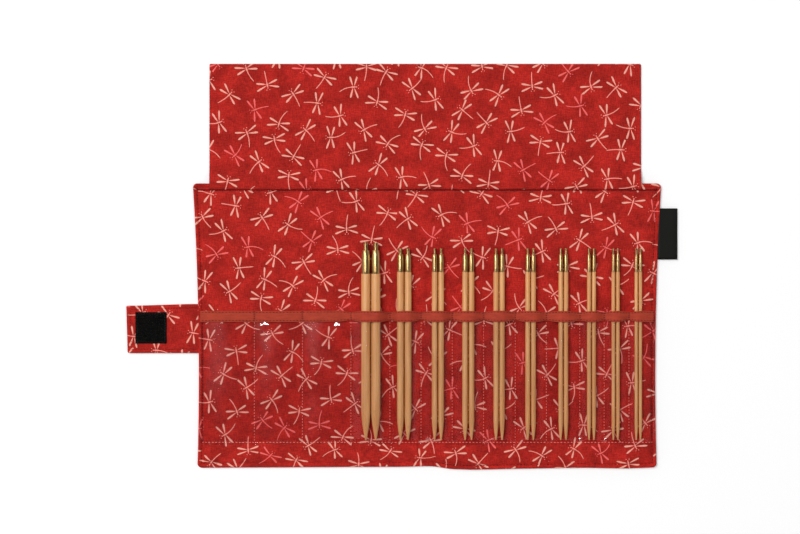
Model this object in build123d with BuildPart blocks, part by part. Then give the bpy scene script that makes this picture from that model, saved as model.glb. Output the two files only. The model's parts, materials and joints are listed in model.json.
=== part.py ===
from build123d import *
from math import asin, atan2, cos, hypot, pi, sin
import os

# Folding cloth case for knitting needle tips, laid open on a table, with ten pairs of
# screw-on bamboo tips in its clear pockets. Millimetres. The back lies on z = 0. The origin
# is on the back, at the right half's edge on the centre fold, half way up the panel. +X points
# to the border with the label, +Y to the flap, +Z out of the inner side.

os.makedirs("parts", exist_ok=True)

# Panel: one padded cloth panel that folds shut at its middle
panel_height = 186.2
half_width = 148.5         # at the middle, where the side borders bow inwards
top_flare = 3.9            # how much further out each side border is at its upper end
bottom_flare = 0.7
corner_radius = 3.0
cloth = 0.5                # one layer of cotton
batting = 2.0              # padding between cover and lining
hem_width = 3.2            # flat border outside the edge stitching
puff_width = 1.2           # width over which the lining rises from the border
batting_margin = 4.4       # batting is trimmed this far inside the border
fold_gap = 0.3             # between the rigid halves, at the centre fold

# Clear pocket sheet and its binding tape
divider_shares = (         # places of the dividers, from the fold to the side stitching
    -0.7673, -0.5537, -0.3381, -0.165, -0.0267, 0.1116,
    0.2512, 0.3915, 0.5298, 0.6783, 0.7865, 0.8967,
)
side_stitch_inset = 2.4    # outermost dividers, in from the side border
sheet_side_inset = 1.2     # side edges of sheet and tape, in from the side border
stitch_flat = 1.2          # strip that each divider holds down on the lining
vinyl = 0.25
empty_pocket_bow = 1.0
seam_height = 18.1         # lower seam of the sheet, above the panel's lower border
sheet_height = 85.4        # from that seam to the open end of the pockets
sheet_hem = 1.6            # below the seam
sheet_end_slope = 2.6      # length over which the sheet drops to its seam
tape_width = 7.2
tape = 0.6
tape_lip = 0.6             # tape folded over the sheet's upper edge

# Needle tips: shaft diameter, and how far the pair sits beside its pocket's middle
tip_sizes = (
    (6.0, 0.3), (4.5, -0.8), (3.75, 0.8), (3.75, 0.2), (3.5, -0.3),
    (3.25, -0.2), (3.0, 0.1), (2.75, -0.4), (2.5, -0.7), (2.25, -1.6),
)
empty_pocket_count = 3     # at the left
tip_length = 120.4         # from the tip's point to the start of its stud
point_clearance = 1.6      # tip's point above the sheet's lower seam
pair_gap = 0.4
rest_gap = 0.3             # tip above lining, and sheet above tip
point_radius = 0.5
taper_ratio = 2.1          # length of the pointed end, in shaft diameters, plus taper_base
taper_base = 6.5
ferrule_length = 11.4      # brass sleeve, cone included
cone_length = 3.3
ferrule_ratio = 0.92       # sleeve diameter to shaft diameter
ferrule_wall = 0.35
glue_gap = 0.03
spigot_length = 6.0
stud_length = 3.9
stud_diameter = 1.7
thread_relief = 0.25       # chamfer on the stud's free end
large_tip = 4.0            # shafts above this have a thicker stud
large_stud_ratio = 0.58
small_tip = 2.6            # shafts below this have a thinner one
small_stud_diameter = 1.4
least_axis_height = 1.55   # room over the lining for the connector that a stud screws into
longest_tip_extra = 2.6    # the thickest pair is longer above the cloth edge
long_ferrule_extra = 3.8
long_stud_extra = 1.1

# Flap, hinged at the upper border
flap_left_inset = 7.1      # flap's sides, in from the panel's
flap_right_inset = 9.4
flap_length = 77.7
flap_cloth = 0.8           # two layers
flap_corner = 1.5
seam_strip = 3.0
drape_length = 7.0         # where the flap comes down to the table

# Closure tab on the left border, and its hook and loop patches
tab_top = 14.8
tab_bottom = -17.1
tab_length = 46.3
tab_thick = 1.8
tab_corner = 2.5
tab_edge = 0.6             # rounded edge
tab_gap = 0.3              # at both bends
wrap_place = 19.7          # second bend, out from the side border
hook_margin = 0.8          # hook patch beyond the second bend
patch_size = 20.4
patch_bottom = -10.9
hook_thick = 1.2
loop_length = 25.4
loop_thick = 1.0
shut_gap = 0.4             # clearance of the flap to tips and other flap half, when shut
hook_gap = 0.4             # clearance of hook patch to back, when shut

# Folded label caught in the right border
label_drop = 16.2          # upper end, below the panel's upper border
label_width = 33.2
label_length = 12.2
label_seam = 3.0
label_cloth = 0.25
label_fold = 0.6           # radius of the folded end

# Levels worked out from the thicknesses
hem_top = 4 * cloth
lining_top = 2 * cloth + batting
top_edge = panel_height / 2
bottom_edge = -panel_height / 2
half_width_top = half_width + top_flare
half_width_bottom = half_width + bottom_flare
side_stitch = half_width - side_stitch_inset
sheet_side = half_width - sheet_side_inset
sheet_seam = bottom_edge + seam_height
sheet_top = sheet_seam + sheet_height
tip_point = sheet_seam + point_clearance
flap_left = -half_width + flap_left_inset
flap_right = half_width - flap_right_inset
flap_edge = top_edge + flap_length
label_bottom = top_edge - label_drop - label_width
dividers = (-side_stitch,) + tuple(share * side_stitch for share in divider_shares)
dividers += (side_stitch,)
tallest_tip = lining_top + rest_gap + max(size for size, shift in tip_sizes)


def axis_level(radius):
    """Height of a tip's axis."""
    return lining_top + max(rest_gap + radius, least_axis_height)


# Hinge lines, shared by the pieces that have to meet when the case is shut
fold_axis_x = -fold_gap / 2
flap_axis_y = top_edge - hem_width + 1.0
flap_axis_z = (tallest_tip + shut_gap + flap_cloth) / 2
fold_axis_z = tallest_tip + shut_gap + flap_cloth + shut_gap / 2
bend_axis_x = -(half_width + 1.5 * tab_gap)
wrap_axis_x = -(half_width + wrap_place)
neck_length = bend_axis_x - wrap_axis_x
tab_axis_z = (2 * fold_axis_z - neck_length + tab_thick + hook_thick + hook_gap) / 2


def panel_face(level, inset):
    """Outline of the panel at a level, drawn in by inset on all four borders."""
    top = top_edge - inset
    bottom = bottom_edge + inset
    with BuildSketch(Plane.XY.offset(level)) as face:
        with BuildLine():
            Line((-half_width_bottom + inset, bottom), (half_width_bottom - inset, bottom))
            ThreePointArc(
                (half_width_bottom - inset, bottom),
                (half_width - inset, 0),
                (half_width_top - inset, top),
            )
            Line((half_width_top - inset, top), (-half_width_top + inset, top))
            ThreePointArc(
                (-half_width_top + inset, top),
                (-half_width + inset, 0),
                (-half_width_bottom + inset, bottom),
            )
        make_face()
        fillet(face.vertices(), corner_radius)
    return face.sketch


def keep_half(side):
    """Keep what lies on one side of the centre fold."""
    if side == "right":
        split(bisect_by=Plane.YZ, keep=Keep.TOP)
    else:
        split(bisect_by=Plane.YZ.offset(-fold_gap), keep=Keep.BOTTOM)


def finish(piece, label):
    """Name a finished piece and write it."""
    piece.part.label = label
    export_step(piece.part, f"parts/{label}.step")
    print(label, round(piece.part.volume, 1))


def box_between(low, high, mode=Mode.ADD):
    """A block given by two opposite corners."""
    size = [b - a for a, b in zip(low, high)]
    with Locations(tuple((a + b) / 2 for a, b in zip(low, high))):
        Box(*size, mode=mode)


# Places of the loop patch and the label, which are let into the panel
hook_inner = wrap_axis_x - hook_margin
loop_outer = half_width - batting_margin - 2 * cloth
loop_low = (loop_outer - loop_length, patch_bottom, 0)
loop_high = (loop_outer, patch_bottom + patch_size, loop_thick)
label_middle = label_bottom + label_width / 2
label_share = label_middle / top_edge
label_border = half_width + (top_flare + bottom_flare) / 2 * label_share**2
label_border += (top_flare - bottom_flare) / 2 * label_share
label_inner = label_border - label_seam
label_outer = label_border + label_length


def loop_patch_block(grow, mode):
    """The loop patch's space in the back, with an even margin around it."""
    low = (loop_low[0] - grow, loop_low[1] - grow, 0)
    high = (loop_high[0] + grow, loop_high[1] + grow, loop_high[2] + grow)
    box_between(low, high, mode)


def label_face():
    """Cross-section of the folded label: two leaves that part towards a round end."""
    low, high = hem_top / 2 - label_cloth, hem_top / 2 + label_cloth
    part_line = label_border + label_seam / 2
    fold_line = label_outer - label_fold
    inner_fold = label_fold - label_cloth
    with BuildSketch(Plane.XZ.offset(-label_bottom)) as face:
        with BuildLine():
            Polyline((part_line, low), (label_inner, low), (label_inner, high), (part_line, high))
            Line((part_line, high), (fold_line, 2 * label_fold))
            ThreePointArc((fold_line, 2 * label_fold), (label_outer, label_fold), (fold_line, 0))
            Line((fold_line, 0), (part_line, low))
        make_face()
        with BuildLine():
            Line((part_line, hem_top / 2), (fold_line, label_fold + inner_fold))
            ThreePointArc(
                (fold_line, label_fold + inner_fold),
                (label_outer - label_cloth, label_fold),
                (fold_line, label_fold - inner_fold),
            )
            Line((fold_line, label_fold - inner_fold), (part_line, hem_top / 2))
        make_face(mode=Mode.SUBTRACT)
    return face.sketch


def label_block(mode):
    """The label's seam allowance as a block, for the slot that it is sewn into."""
    low = (label_inner, label_bottom, hem_top / 2 - label_cloth)
    high = (label_outer, label_bottom + label_width, hem_top / 2 + label_cloth)
    box_between(low, high, mode)


# Panel pieces: cover with its turned-up border, batting, and puffed lining
for side in ("right", "left"):
    with BuildPart() as cover:
        extrude(panel_face(0, 0), amount=hem_top / 2)
        extrude(panel_face(cloth, batting_margin), amount=hem_top / 2, mode=Mode.SUBTRACT)
        if side == "right":
            loop_patch_block(cloth, Mode.ADD)
            loop_patch_block(0, Mode.SUBTRACT)
            label_block(Mode.SUBTRACT)
        keep_half(side)
    finish(cover, f"cover_{side}")

    with BuildPart() as padding:
        extrude(panel_face(cloth, batting_margin), amount=batting)
        if side == "right":
            loop_patch_block(cloth, Mode.SUBTRACT)
        keep_half(side)
    finish(padding, f"padding_{side}")

    with BuildPart() as puff:
        extrude(panel_face(hem_top / 2, 0), amount=hem_top / 2)
        puff_foot = panel_face(hem_top, hem_width)
        puff_crown = panel_face(lining_top, hem_width + puff_width)
        loft([puff_foot, puff_crown], ruled=True)
        keep_half(side)
    if side == "right":
        puff_right = puff.part
    else:
        puff_left = puff.part

    with BuildPart() as lining:
        add(puff.part)
        inside = panel_face(hem_top / 2, batting_margin)
        extrude(inside, amount=lining_top - cloth - hem_top / 2, mode=Mode.SUBTRACT)
        if side == "right":
            label_block(Mode.SUBTRACT)
    finish(lining, f"lining_{side}")

with BuildPart() as loop_patch:
    loop_patch_block(0, Mode.ADD)
finish(loop_patch, "loop_patch")

with BuildPart() as woven_label:
    extrude(label_face(), amount=-label_width)
finish(woven_label, "woven_label")


# Needle tips
def tip_places():
    """Pocket number, side of the pair, middle line and shaft radius of each tip."""
    places = []
    for number, (size, shift) in enumerate(tip_sizes):
        left = dividers[empty_pocket_count + number]
        right = dividers[empty_pocket_count + number + 1]
        middle = (left + right) / 2 + shift
        for side, sign in (("left", -1), ("right", 1)):
            places.append((number, side, middle + sign * (size + pair_gap) / 2, size / 2))
    return places


def tip_levels(number, radius):
    """Ends of shaft, sleeve and stud along Y, and the stud's radius."""
    longest = number == 0
    sleeve_top = tip_point + tip_length + (longest_tip_extra if longest else 0)
    sleeve_end = sleeve_top - ferrule_length - (long_ferrule_extra if longest else 0)
    stud_end = sleeve_top + stud_length + (long_stud_extra if longest else 0)
    stud_radius = stud_diameter / 2
    if 2 * radius > large_tip:
        stud_radius = large_stud_ratio * ferrule_ratio * radius
    if 2 * radius < small_tip:
        stud_radius = small_stud_diameter / 2
    return sleeve_end, sleeve_top, stud_end, stud_radius


for number, side, middle, radius in tip_places():
    sleeve_end, sleeve_top, stud_end, stud_radius = tip_levels(number, radius)
    sleeve_radius = ferrule_ratio * radius
    bore_radius = sleeve_radius - ferrule_wall
    taper_start = tip_point + taper_ratio * 2 * radius + taper_base
    height = axis_level(radius)
    axis_plane = Plane(origin=(middle, 0, height), x_dir=(1, 0, 0), z_dir=(0, 0, 1))

    with BuildPart() as shaft:
        with BuildSketch(axis_plane):
            with BuildLine():
                Line((0, tip_point), (0, sleeve_end + spigot_length))
                Line(
                    (0, sleeve_end + spigot_length),
                    (bore_radius - glue_gap, sleeve_end + spigot_length),
                )
                Line(
                    (bore_radius - glue_gap, sleeve_end + spigot_length),
                    (bore_radius - glue_gap, sleeve_end),
                )
                Line((bore_radius - glue_gap, sleeve_end), (radius, sleeve_end))
                Line((radius, sleeve_end), (radius, taper_start))
                Bezier(
                    (radius, taper_start),
                    (radius, (2 * taper_start + tip_point) / 3),
                    (point_radius, tip_point + 3 * point_radius),
                    (point_radius, tip_point + point_radius),
                )
                ThreePointArc(
                    (point_radius, tip_point + point_radius),
                    (point_radius * cos(pi / 4), tip_point + point_radius * (1 - sin(pi / 4))),
                    (0, tip_point),
                )
            make_face()
        revolve(axis=Axis((middle, 0, height), (0, 1, 0)))
    finish(shaft, f"shaft_{number + 1:02d}_{side}")

    with BuildPart() as ferrule:
        with BuildSketch(axis_plane):
            with BuildLine():
                Polyline(
                    (0, sleeve_end + spigot_length + glue_gap),
                    (bore_radius, sleeve_end + spigot_length + glue_gap),
                    (bore_radius, sleeve_end),
                    (sleeve_radius, sleeve_end),
                    (sleeve_radius, sleeve_top - cone_length),
                    (stud_radius + thread_relief / 2, sleeve_top),
                    (stud_radius, sleeve_top),
                    (stud_radius, stud_end - thread_relief),
                    (stud_radius - thread_relief, stud_end),
                    (0, stud_end),
                    close=True,
                )
            make_face()
        revolve(axis=Axis((middle, 0, height), (0, 1, 0)))
    finish(ferrule, f"ferrule_{number + 1:02d}_{side}")


# Pocket sheet and tape. Their cross-sections follow the tips that they cover.
def touch_point(base, centre, radius, sign):
    """Where a line from base touches a circle, on the upper side; sign is -1 left of it."""
    reach = hypot(centre[0] - base[0], centre[1] - base[1])
    direction = atan2(centre[1] - base[1], centre[0] - base[0])
    angle = direction - sign * asin(radius / reach)
    length = (reach**2 - radius**2) ** 0.5
    return (base[0] + length * cos(angle), base[1] + length * sin(angle))


def arc_to_top(touch, centre, radius):
    """Points for the arc from a touch point up to the circle's top."""
    angle = (atan2(touch[1] - centre[1], touch[0] - centre[0]) + pi / 2) / 2
    middle = (centre[0] + radius * cos(angle), centre[1] + radius * sin(angle))
    return touch, middle, (centre[0], centre[1] + radius)


def pair_hump(left, right, number, lift):
    """The sheet's line over one pair of tips, from one divider's strip to the next."""
    size, shift = tip_sizes[number]
    start = dividers[empty_pocket_count + number]
    stop = dividers[empty_pocket_count + number + 1]
    middle = (start + stop) / 2 + shift
    height = axis_level(size / 2)
    radius = size / 2 + rest_gap + lift
    left_circle = (middle - (size + pair_gap) / 2, height)
    right_circle = (middle + (size + pair_gap) / 2, height)
    left_touch = touch_point(left, left_circle, radius, -1)
    right_touch = touch_point(right, right_circle, radius, 1)
    Line(left, left_touch)
    ThreePointArc(*arc_to_top(left_touch, left_circle, radius))
    Line((left_circle[0], height + radius), (right_circle[0], height + radius))
    ThreePointArc(*reversed(arc_to_top(right_touch, right_circle, radius)))
    Line(right_touch, right)


def sheet_face(side, lift, top):
    """Cross-section under the sheet's line, raised by lift, over one half of the case."""
    level = lining_top + lift
    hem_level = hem_top + lift
    floor = hem_top / 2
    flat = stitch_flat / 2
    rise_start = half_width - side_stitch_inset
    rise_stop = rise_start - puff_width
    split_pocket = [n for n in range(len(dividers) - 1) if dividers[n] < 0 < dividers[n + 1]][0]
    if side == "right":
        pockets = range(split_pocket, len(dividers) - 1)
        first, last = (0, level), (rise_stop, level)
    else:
        pockets = range(0, split_pocket)
        first, last = (-rise_stop, level), (dividers[split_pocket] - flat, level)
    with BuildSketch(Plane.XZ.offset(-top)) as face:
        with BuildLine():
            for n in pockets:
                left = (dividers[n] + flat, level)
                right = (dividers[n + 1] - flat, level)
                if n == pockets[0]:
                    left = first if side == "left" else (2 * flat, level)
                if n == pockets[-1] and side == "right":
                    right = last
                if n < empty_pocket_count:
                    bow = level + empty_pocket_bow
                    ThreePointArc(left, ((left[0] + right[0]) / 2, bow), right)
                else:
                    pair_hump(left, right, n - empty_pocket_count, lift)
                if n != pockets[-1]:
                    Line(right, (dividers[n + 1] + flat, level))
            if side == "right":
                Line((0, level), (2 * flat, level))
                Polyline(
                    (rise_stop, level),
                    (rise_start, hem_level),
                    (sheet_side, hem_level),
                    (sheet_side, floor),
                    (0, floor),
                    (0, level),
                )
            else:
                Polyline(
                    (dividers[split_pocket] - flat, level),
                    (-fold_gap, level),
                    (-fold_gap, floor),
                    (-sheet_side, floor),
                    (-sheet_side, hem_level),
                    (-rise_start, hem_level),
                    (-rise_stop, level),
                )
        make_face()
    return face.sketch


def sheet_drop(lift, top):
    """The sheet's lengthwise outline: level over the tips, then down to its seam."""
    crest = 2 * tallest_tip
    floor = hem_top / 2
    drop_start = sheet_seam + sheet_end_slope
    drop_top = tallest_tip + rest_gap + lift
    hem_end = sheet_seam - sheet_hem
    with BuildSketch(Plane.YZ.offset(-half_width_top)) as face:
        with BuildLine():
            Polyline(
                (top, floor),
                (top, crest),
                (drop_start, crest),
                (drop_start, drop_top),
                (sheet_seam, lining_top + lift),
                (hem_end, lining_top + lift),
                (hem_end, floor),
                close=True,
            )
        make_face()
    return face.sketch


def sheet_solid(side, lift, top):
    """Space under the sheet's line over one half of the case."""
    with BuildPart() as space:
        extrude(sheet_face(side, lift, top), amount=top - sheet_seam + sheet_hem)
        extrude(sheet_drop(lift, top), amount=2 * half_width_top, mode=Mode.INTERSECT)
    return space.part


for side, puff_part in (("right", puff_right), ("left", puff_left)):
    pocket_space = sheet_solid(side, 0, sheet_top)
    under_tape = sheet_solid(side, vinyl, sheet_top - tape_lip)

    with BuildPart() as pocket_sheet:
        add(under_tape)
        add(pocket_space, mode=Mode.SUBTRACT)
        add(puff_part, mode=Mode.SUBTRACT)
    finish(pocket_sheet, f"vinyl_{side}")

    with BuildPart() as binding:
        add(sheet_solid(side, vinyl + tape, sheet_top))
        box_between(
            (-half_width_top, sheet_top - tape_width, 0),
            (half_width_top, sheet_top, 3 * tallest_tip),
            Mode.INTERSECT,
        )
        add(under_tape, mode=Mode.SUBTRACT)
        add(pocket_space, mode=Mode.SUBTRACT)
        add(puff_part, mode=Mode.SUBTRACT)
    finish(binding, f"tape_{side}")

# Flap: a strip sewn down on the upper border, and the free flap draped over that border
for side, inner, outer in (
    ("right", 0, flap_right),
    ("left", -fold_gap, flap_left),
):
    with BuildPart() as flap_seam:
        box_between(
            (min(inner, outer), top_edge - seam_strip, hem_top),
            (max(inner, outer), top_edge, hem_top + flap_cloth),
        )
    finish(flap_seam, f"flap_seam_{side}")

    drape_start = top_edge + tab_gap
    drape_end = drape_start + drape_length
    drape_pull = drape_length / 2
    with BuildPart() as flap:
        with BuildSketch(Plane.YZ.offset(inner)):
            with BuildLine():
                Line((flap_edge, 0), (drape_end, 0))
                Bezier(
                    (drape_end, 0),
                    (drape_end - drape_pull, 0),
                    (drape_start + drape_pull, hem_top),
                    (drape_start, hem_top),
                )
                Line((drape_start, hem_top), (drape_start, hem_top + flap_cloth))
                Bezier(
                    (drape_start, hem_top + flap_cloth),
                    (drape_start + drape_pull, hem_top + flap_cloth),
                    (drape_end - drape_pull, flap_cloth),
                    (drape_end, flap_cloth),
                )
                Line((drape_end, flap_cloth), (flap_edge, flap_cloth))
                Line((flap_edge, flap_cloth), (flap_edge, 0))
            make_face()
        extrude(amount=outer - inner)
        upright = flap.edges().filter_by(Axis.Z).group_by(Axis.Y)[-1]
        fillet(upright.sort_by(Axis.X)[-1 if side == "right" else 0], flap_corner)
    finish(flap, f"flap_{side}")

# Closure tab, bent twice when the case is shut: its neck passes the closed border, and its
# end lies under the back
neck_start = bend_axis_x - tab_gap / 2
for name, near, far in (
    ("tab_neck", neck_start, wrap_axis_x + tab_gap / 2),
    ("tab_end", wrap_axis_x - tab_gap / 2, neck_start - tab_length),
):
    with BuildPart() as tab:
        box_between((far, tab_bottom, 0), (near, tab_top, tab_thick))
        if name == "tab_end":
            fillet(tab.edges().filter_by(Axis.Z).group_by(Axis.X)[0], tab_corner)
        rim = tab.faces().sort_by(Axis.Z)[-1].edges()
        border = [e for e in rim if abs(e.center().X - near) > tab_gap]
        if name == "tab_neck":
            border = [e for e in border if abs(e.center().X - far) > tab_gap]
        fillet(border, tab_edge)
    finish(tab, name)

with BuildPart() as hook_patch:
    box_between(
        (hook_inner - patch_size, patch_bottom, tab_thick),
        (hook_inner, patch_bottom + patch_size, tab_thick + hook_thick),
    )
finish(hook_patch, "hook_patch")

print("flap axis", flap_axis_y, flap_axis_z, "fold axis z", fold_axis_z)
print("tab axes", bend_axis_x, wrap_axis_x, tab_axis_z)
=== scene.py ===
import functools
import itertools
import json
import math

import bpy
import numpy as np
from bpy.props import FloatProperty, FloatVectorProperty, IntProperty, PointerProperty
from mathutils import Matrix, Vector, noise


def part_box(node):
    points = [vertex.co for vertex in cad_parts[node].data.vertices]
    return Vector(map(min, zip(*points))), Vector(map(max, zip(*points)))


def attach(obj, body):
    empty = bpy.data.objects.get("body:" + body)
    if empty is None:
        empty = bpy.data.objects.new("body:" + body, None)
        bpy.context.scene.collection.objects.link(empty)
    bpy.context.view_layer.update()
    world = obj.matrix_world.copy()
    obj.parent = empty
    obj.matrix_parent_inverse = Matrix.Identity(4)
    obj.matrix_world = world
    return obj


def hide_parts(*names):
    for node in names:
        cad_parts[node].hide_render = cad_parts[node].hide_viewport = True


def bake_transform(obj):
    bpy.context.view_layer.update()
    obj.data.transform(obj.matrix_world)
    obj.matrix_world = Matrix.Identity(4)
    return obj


bl_info = {
    "name": "Knitting Needle Case",
    "version": (1, 0, 0),
    "blender": (4, 5, 0),
    "location": "3D View > Sidebar > Needle Case",
    "description": "Dresses the case's frame with printed cotton, clear pockets, stitching and tips",
    "category": "Object",
}

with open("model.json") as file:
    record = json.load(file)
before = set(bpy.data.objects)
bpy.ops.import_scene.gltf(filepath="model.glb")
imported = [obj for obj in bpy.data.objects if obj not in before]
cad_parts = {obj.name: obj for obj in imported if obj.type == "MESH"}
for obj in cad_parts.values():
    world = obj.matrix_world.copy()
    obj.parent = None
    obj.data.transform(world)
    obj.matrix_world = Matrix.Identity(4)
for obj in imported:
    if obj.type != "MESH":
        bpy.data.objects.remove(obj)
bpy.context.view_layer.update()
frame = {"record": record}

# Everything is in metres, but for the tables that say millimetres. The case lies open on its
# back at z = 0, +X to the label, +Y to the flap. Sizes that the frame holds are read from it.
MM = 0.001

HALF_WIDTH = 148.5 * MM       # across the middle, where the side borders bow inwards
TOP_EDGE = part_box("lining_right")[1][1]
TOP_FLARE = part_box("cover_right")[1][0] - HALF_WIDTH
BOTTOM_FLARE = 0.7 * MM
CORNER = 3 * MM
HEM_WIDTH = 3.2 * MM          # flat border outside the edge stitching
EDGE_STITCH = 2.6 * MM        # from the border to its stitching
HEM_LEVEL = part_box("flap_seam_right")[0][2]
SEAM_LEVEL = HEM_LEVEL / 2    # where cover and lining are sewn together
LINING_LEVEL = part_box("lining_right")[1][2]
PUFF_REACH = 5 * MM           # how far in the padding takes to rise
FOLD_X = -0.15 * MM
COTTON = 0.4 * MM             # thickness of one layer
COVER_STEP = 2.4 * MM         # between the lines of each cloth's grid
LINING_STEP = 1.8 * MM
PADDING_STEP = 5 * MM
FLAP_STEP = 1.6 * MM
TAB_STEP = 1.2 * MM
SHEET_STEP = 0.8 * MM

SIDE_STITCH = HALF_WIDTH - 2.4 * MM
DIVIDER_SHARES = (
    -1, -0.7673, -0.5537, -0.3381, -0.165, -0.0267, 0.1116,
    0.2512, 0.3915, 0.5298, 0.6783, 0.7865, 0.8967, 1,
)
DIVIDERS = [share * SIDE_STITCH for share in DIVIDER_SHARES]
EMPTY_POCKETS = 3
SHEET_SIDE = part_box("vinyl_right")[1][0]
SHEET_SEAM = -75 * MM
SHEET_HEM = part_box("vinyl_right")[0][1]
TAPE_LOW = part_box("tape_right")[0][1]
TAPE_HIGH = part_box("tape_right")[1][1]
SHEET_THICK = 0.12 * MM
TAPE_THICK = 0.15 * MM
SHEET_CLEARANCE = 0.55 * MM   # from a tip's side to the outside of the clear sheet
EMPTY_CREST = 0.95 * MM       # rise of the sheet over an empty pocket

FLAP_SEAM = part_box("flap_seam_right")[0][1]
FLAP_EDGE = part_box("flap_right")[1][1]
FLAP_THICK = 0.8 * MM
DRAPE_END = TOP_EDGE + 7.3 * MM
CREASE = FLAP_SEAM - 1.3 * MM
FLAP_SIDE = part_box("flap_right")[1][0]
STRIP_CREASE = -5.2 * MM      # a fold down the strip under the pockets


def smooth(share):
    """Smooth step from 0 to 1."""
    share = min(1.0, max(0.0, share))
    return share * share * (3 - 2 * share)


def bump_at(place, middle, width):
    """A soft bump of height 1 and that half width."""
    return math.exp(-(((place - middle) / width) ** 2))


def rounded(edge, rim):
    """Height from 0 to 1 of a round border, as wide as rim, that far in from its edge."""
    return math.sqrt(max(0.0, 1 - (1 - min(1.0, max(0.0, edge) / rim)) ** 2))


def fold_relief(x, folds):
    """Height of soft folds that run along Y."""
    return MM * sum(height * bump_at(x / MM, place, width) for place, height, width in folds)


def run_length(points):
    """Length up to each point of the line through them."""
    steps = [math.dist(before, after) for before, after in zip(points, points[1:])]
    return list(itertools.accumulate(steps, initial=0))


def wander(x, y, size, seed):
    """Smooth random value from about -1 to 1, with features of that size."""
    return noise.noise(Vector((x / size, y / size, seed * 7.3)))


def tip_line(number, side):
    """Middle line's x and z, and the shaft's radius, of one tip."""
    low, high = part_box(f"shaft_{number:02d}_{side}")
    return (low[0] + high[0]) / 2, (low[2] + high[2]) / 2, (high[2] - low[2]) / 2


# Surfaces of the case as height functions, shared by the cloth and the stitches on it
SOFT_FOLDS = (                # place across, height and half width, in millimetres
    (-128, -0.25, 7), (-92, 0.3, 12), (-36, -0.4, 8), (-12, 0.25, 10), (20, -0.2, 8),
    (46, -0.4, 7), (58, 0.25, 6), (69, -0.3, 6), (112, 0.25, 12),
)
STITCH_GROOVE = 1.05 * MM     # depths that the stitching draws the lining down
DIVIDER_GROOVE = 0.26 * MM
SEAM_GROOVE = 0.7 * MM
CREASE_GROOVE = 1.1 * MM
STRIP_GROOVE = 1.2 * MM
TIP_ROOM = 0.22 * MM          # between the puffed lining and the tips that slide over it


def side_border(y):
    """How far out the side border is at that height."""
    share = y / TOP_EDGE
    bow = (TOP_FLARE + BOTTOM_FLARE) / 2 * share * share
    return HALF_WIDTH + bow + (TOP_FLARE - BOTTOM_FLARE) / 2 * share


def panel_edge(x, y):
    """How far in from the panel's border a place is."""
    return min(side_border(y) - abs(x), TOP_EDGE - abs(y))


DRAWN_UP = (                  # place across and rise of the lower border, in millimetres
    (-148, 1.5), (-110, 1.7), (-60, 2.0), (-20, 2.1), (-8, 2.3), (0, 2.6), (5, 2.4), (9, 1.7),
    (15, 0.7), (30, 0.2), (56, 0.8), (80, 1.2), (103, 1.5), (129, 1.0), (148, 1.7),
)


def blurred(x, samples, places, values):
    """Value at x of the line through places and values, averaged over samples beside x."""
    return float(np.mean(np.interp([x + aside for aside in samples], places, values)))


def lower_border_rise(x):
    """How far its stitching draws the lower border up, most at the fold."""
    return MM * blurred(x / MM, (-2, 0, 2), *zip(*DRAWN_UP))


def pocket_share(y):
    """1 where the pockets are, 0 above them and below their seam."""
    return smooth((TAPE_HIGH + 4 * MM - y) / (4 * MM)) * smooth((y - SHEET_HEM) / (2 * MM) + 1)


def divider_dip(x):
    """1 on a divider's stitching, 0 between."""
    return max(bump_at(x, divider, 1.3 * MM) for divider in DIVIDERS[1:-1])


def pucker(along, edge, seed):
    """Small waves that run in from a row of stitches."""
    wave = noise.noise(Vector((along / (3.2 * MM), seed, 0)))
    wave += 0.7 * noise.noise(Vector((along / (7 * MM), seed, 5)))
    return wave * math.exp(-abs(edge - HEM_WIDTH) / (4.5 * MM)) * smooth(edge / EDGE_STITCH)


def upper_puff(x, y):
    """Rise of the padding at the upper border: steep where the flap is sewn on, soft beside it."""
    beside = smooth((abs(x) - FLAP_SIDE) / (3 * MM))
    steep = smooth((TOP_EDGE - y - 4.4 * MM) / (1.1 * MM))
    soft = smooth((TOP_EDGE - y - HEM_WIDTH) / PUFF_REACH)
    return steep + (soft - steep) * beside


def under_tips(rise):
    """Rise of the lining, flattened where it would reach the tips."""
    return TIP_ROOM * math.tanh(rise / TIP_ROOM) if rise > 0 else rise


def lining_level(x, y):
    """Top of the lining."""
    beside, edge = side_border(y) - abs(x), panel_edge(x, y)
    level = SEAM_LEVEL + (HEM_LEVEL - 0.1 * MM - SEAM_LEVEL) * rounded(edge, 1 * MM)
    level += (LINING_LEVEL - HEM_LEVEL) * min(
        smooth((min(beside, TOP_EDGE + y) - HEM_WIDTH) / PUFF_REACH), upper_puff(x, y)
    )
    level -= STITCH_GROOVE * bump_at(edge, EDGE_STITCH, 0.75 * MM)
    along = x if min(TOP_EDGE - y, TOP_EDGE + y) < beside else y + 1
    level += 0.5 * MM * pucker(along, edge, 1)
    inside = smooth((edge - HEM_WIDTH) / (9 * MM))
    folds = under_tips(fold_relief(x, SOFT_FOLDS) + 0.3 * MM * wander(x, y, 28 * MM, 11))
    upper = smooth((y - 55 * MM) / (12 * MM))
    under_sheet = min(folds, 0) * 0.5 - 0.1 * MM
    level += inside * (upper * max(folds, -0.6 * MM) + (1 - upper) * under_sheet)
    level -= DIVIDER_GROOVE * divider_dip(x) * pocket_share(y)
    level -= SEAM_GROOVE * bump_at(y, SHEET_SEAM, 1.3 * MM) * inside
    level -= CREASE_GROOVE * bump_at(y, CREASE, 0.75 * MM) * smooth(edge / (2 * MM))
    strip = smooth((SHEET_SEAM - y) / (2 * MM)) * inside
    level -= STRIP_GROOVE * bump_at(x, STRIP_CREASE, 0.8 * MM) * strip
    return max(level, 0.5 * MM)


def taut_line(points):
    """Upper hull of points, from left to right: the line of a sheet pulled over them."""
    hull = []
    for point in sorted(points):
        while len(hull) > 1:
            (ax, az), (bx, bz) = hull[-2:]
            if (bx - ax) * (point[1] - az) - (bz - az) * (point[0] - ax) < 0:
                break
            hull.pop()
        hull.append(point)
    return hull


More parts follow.
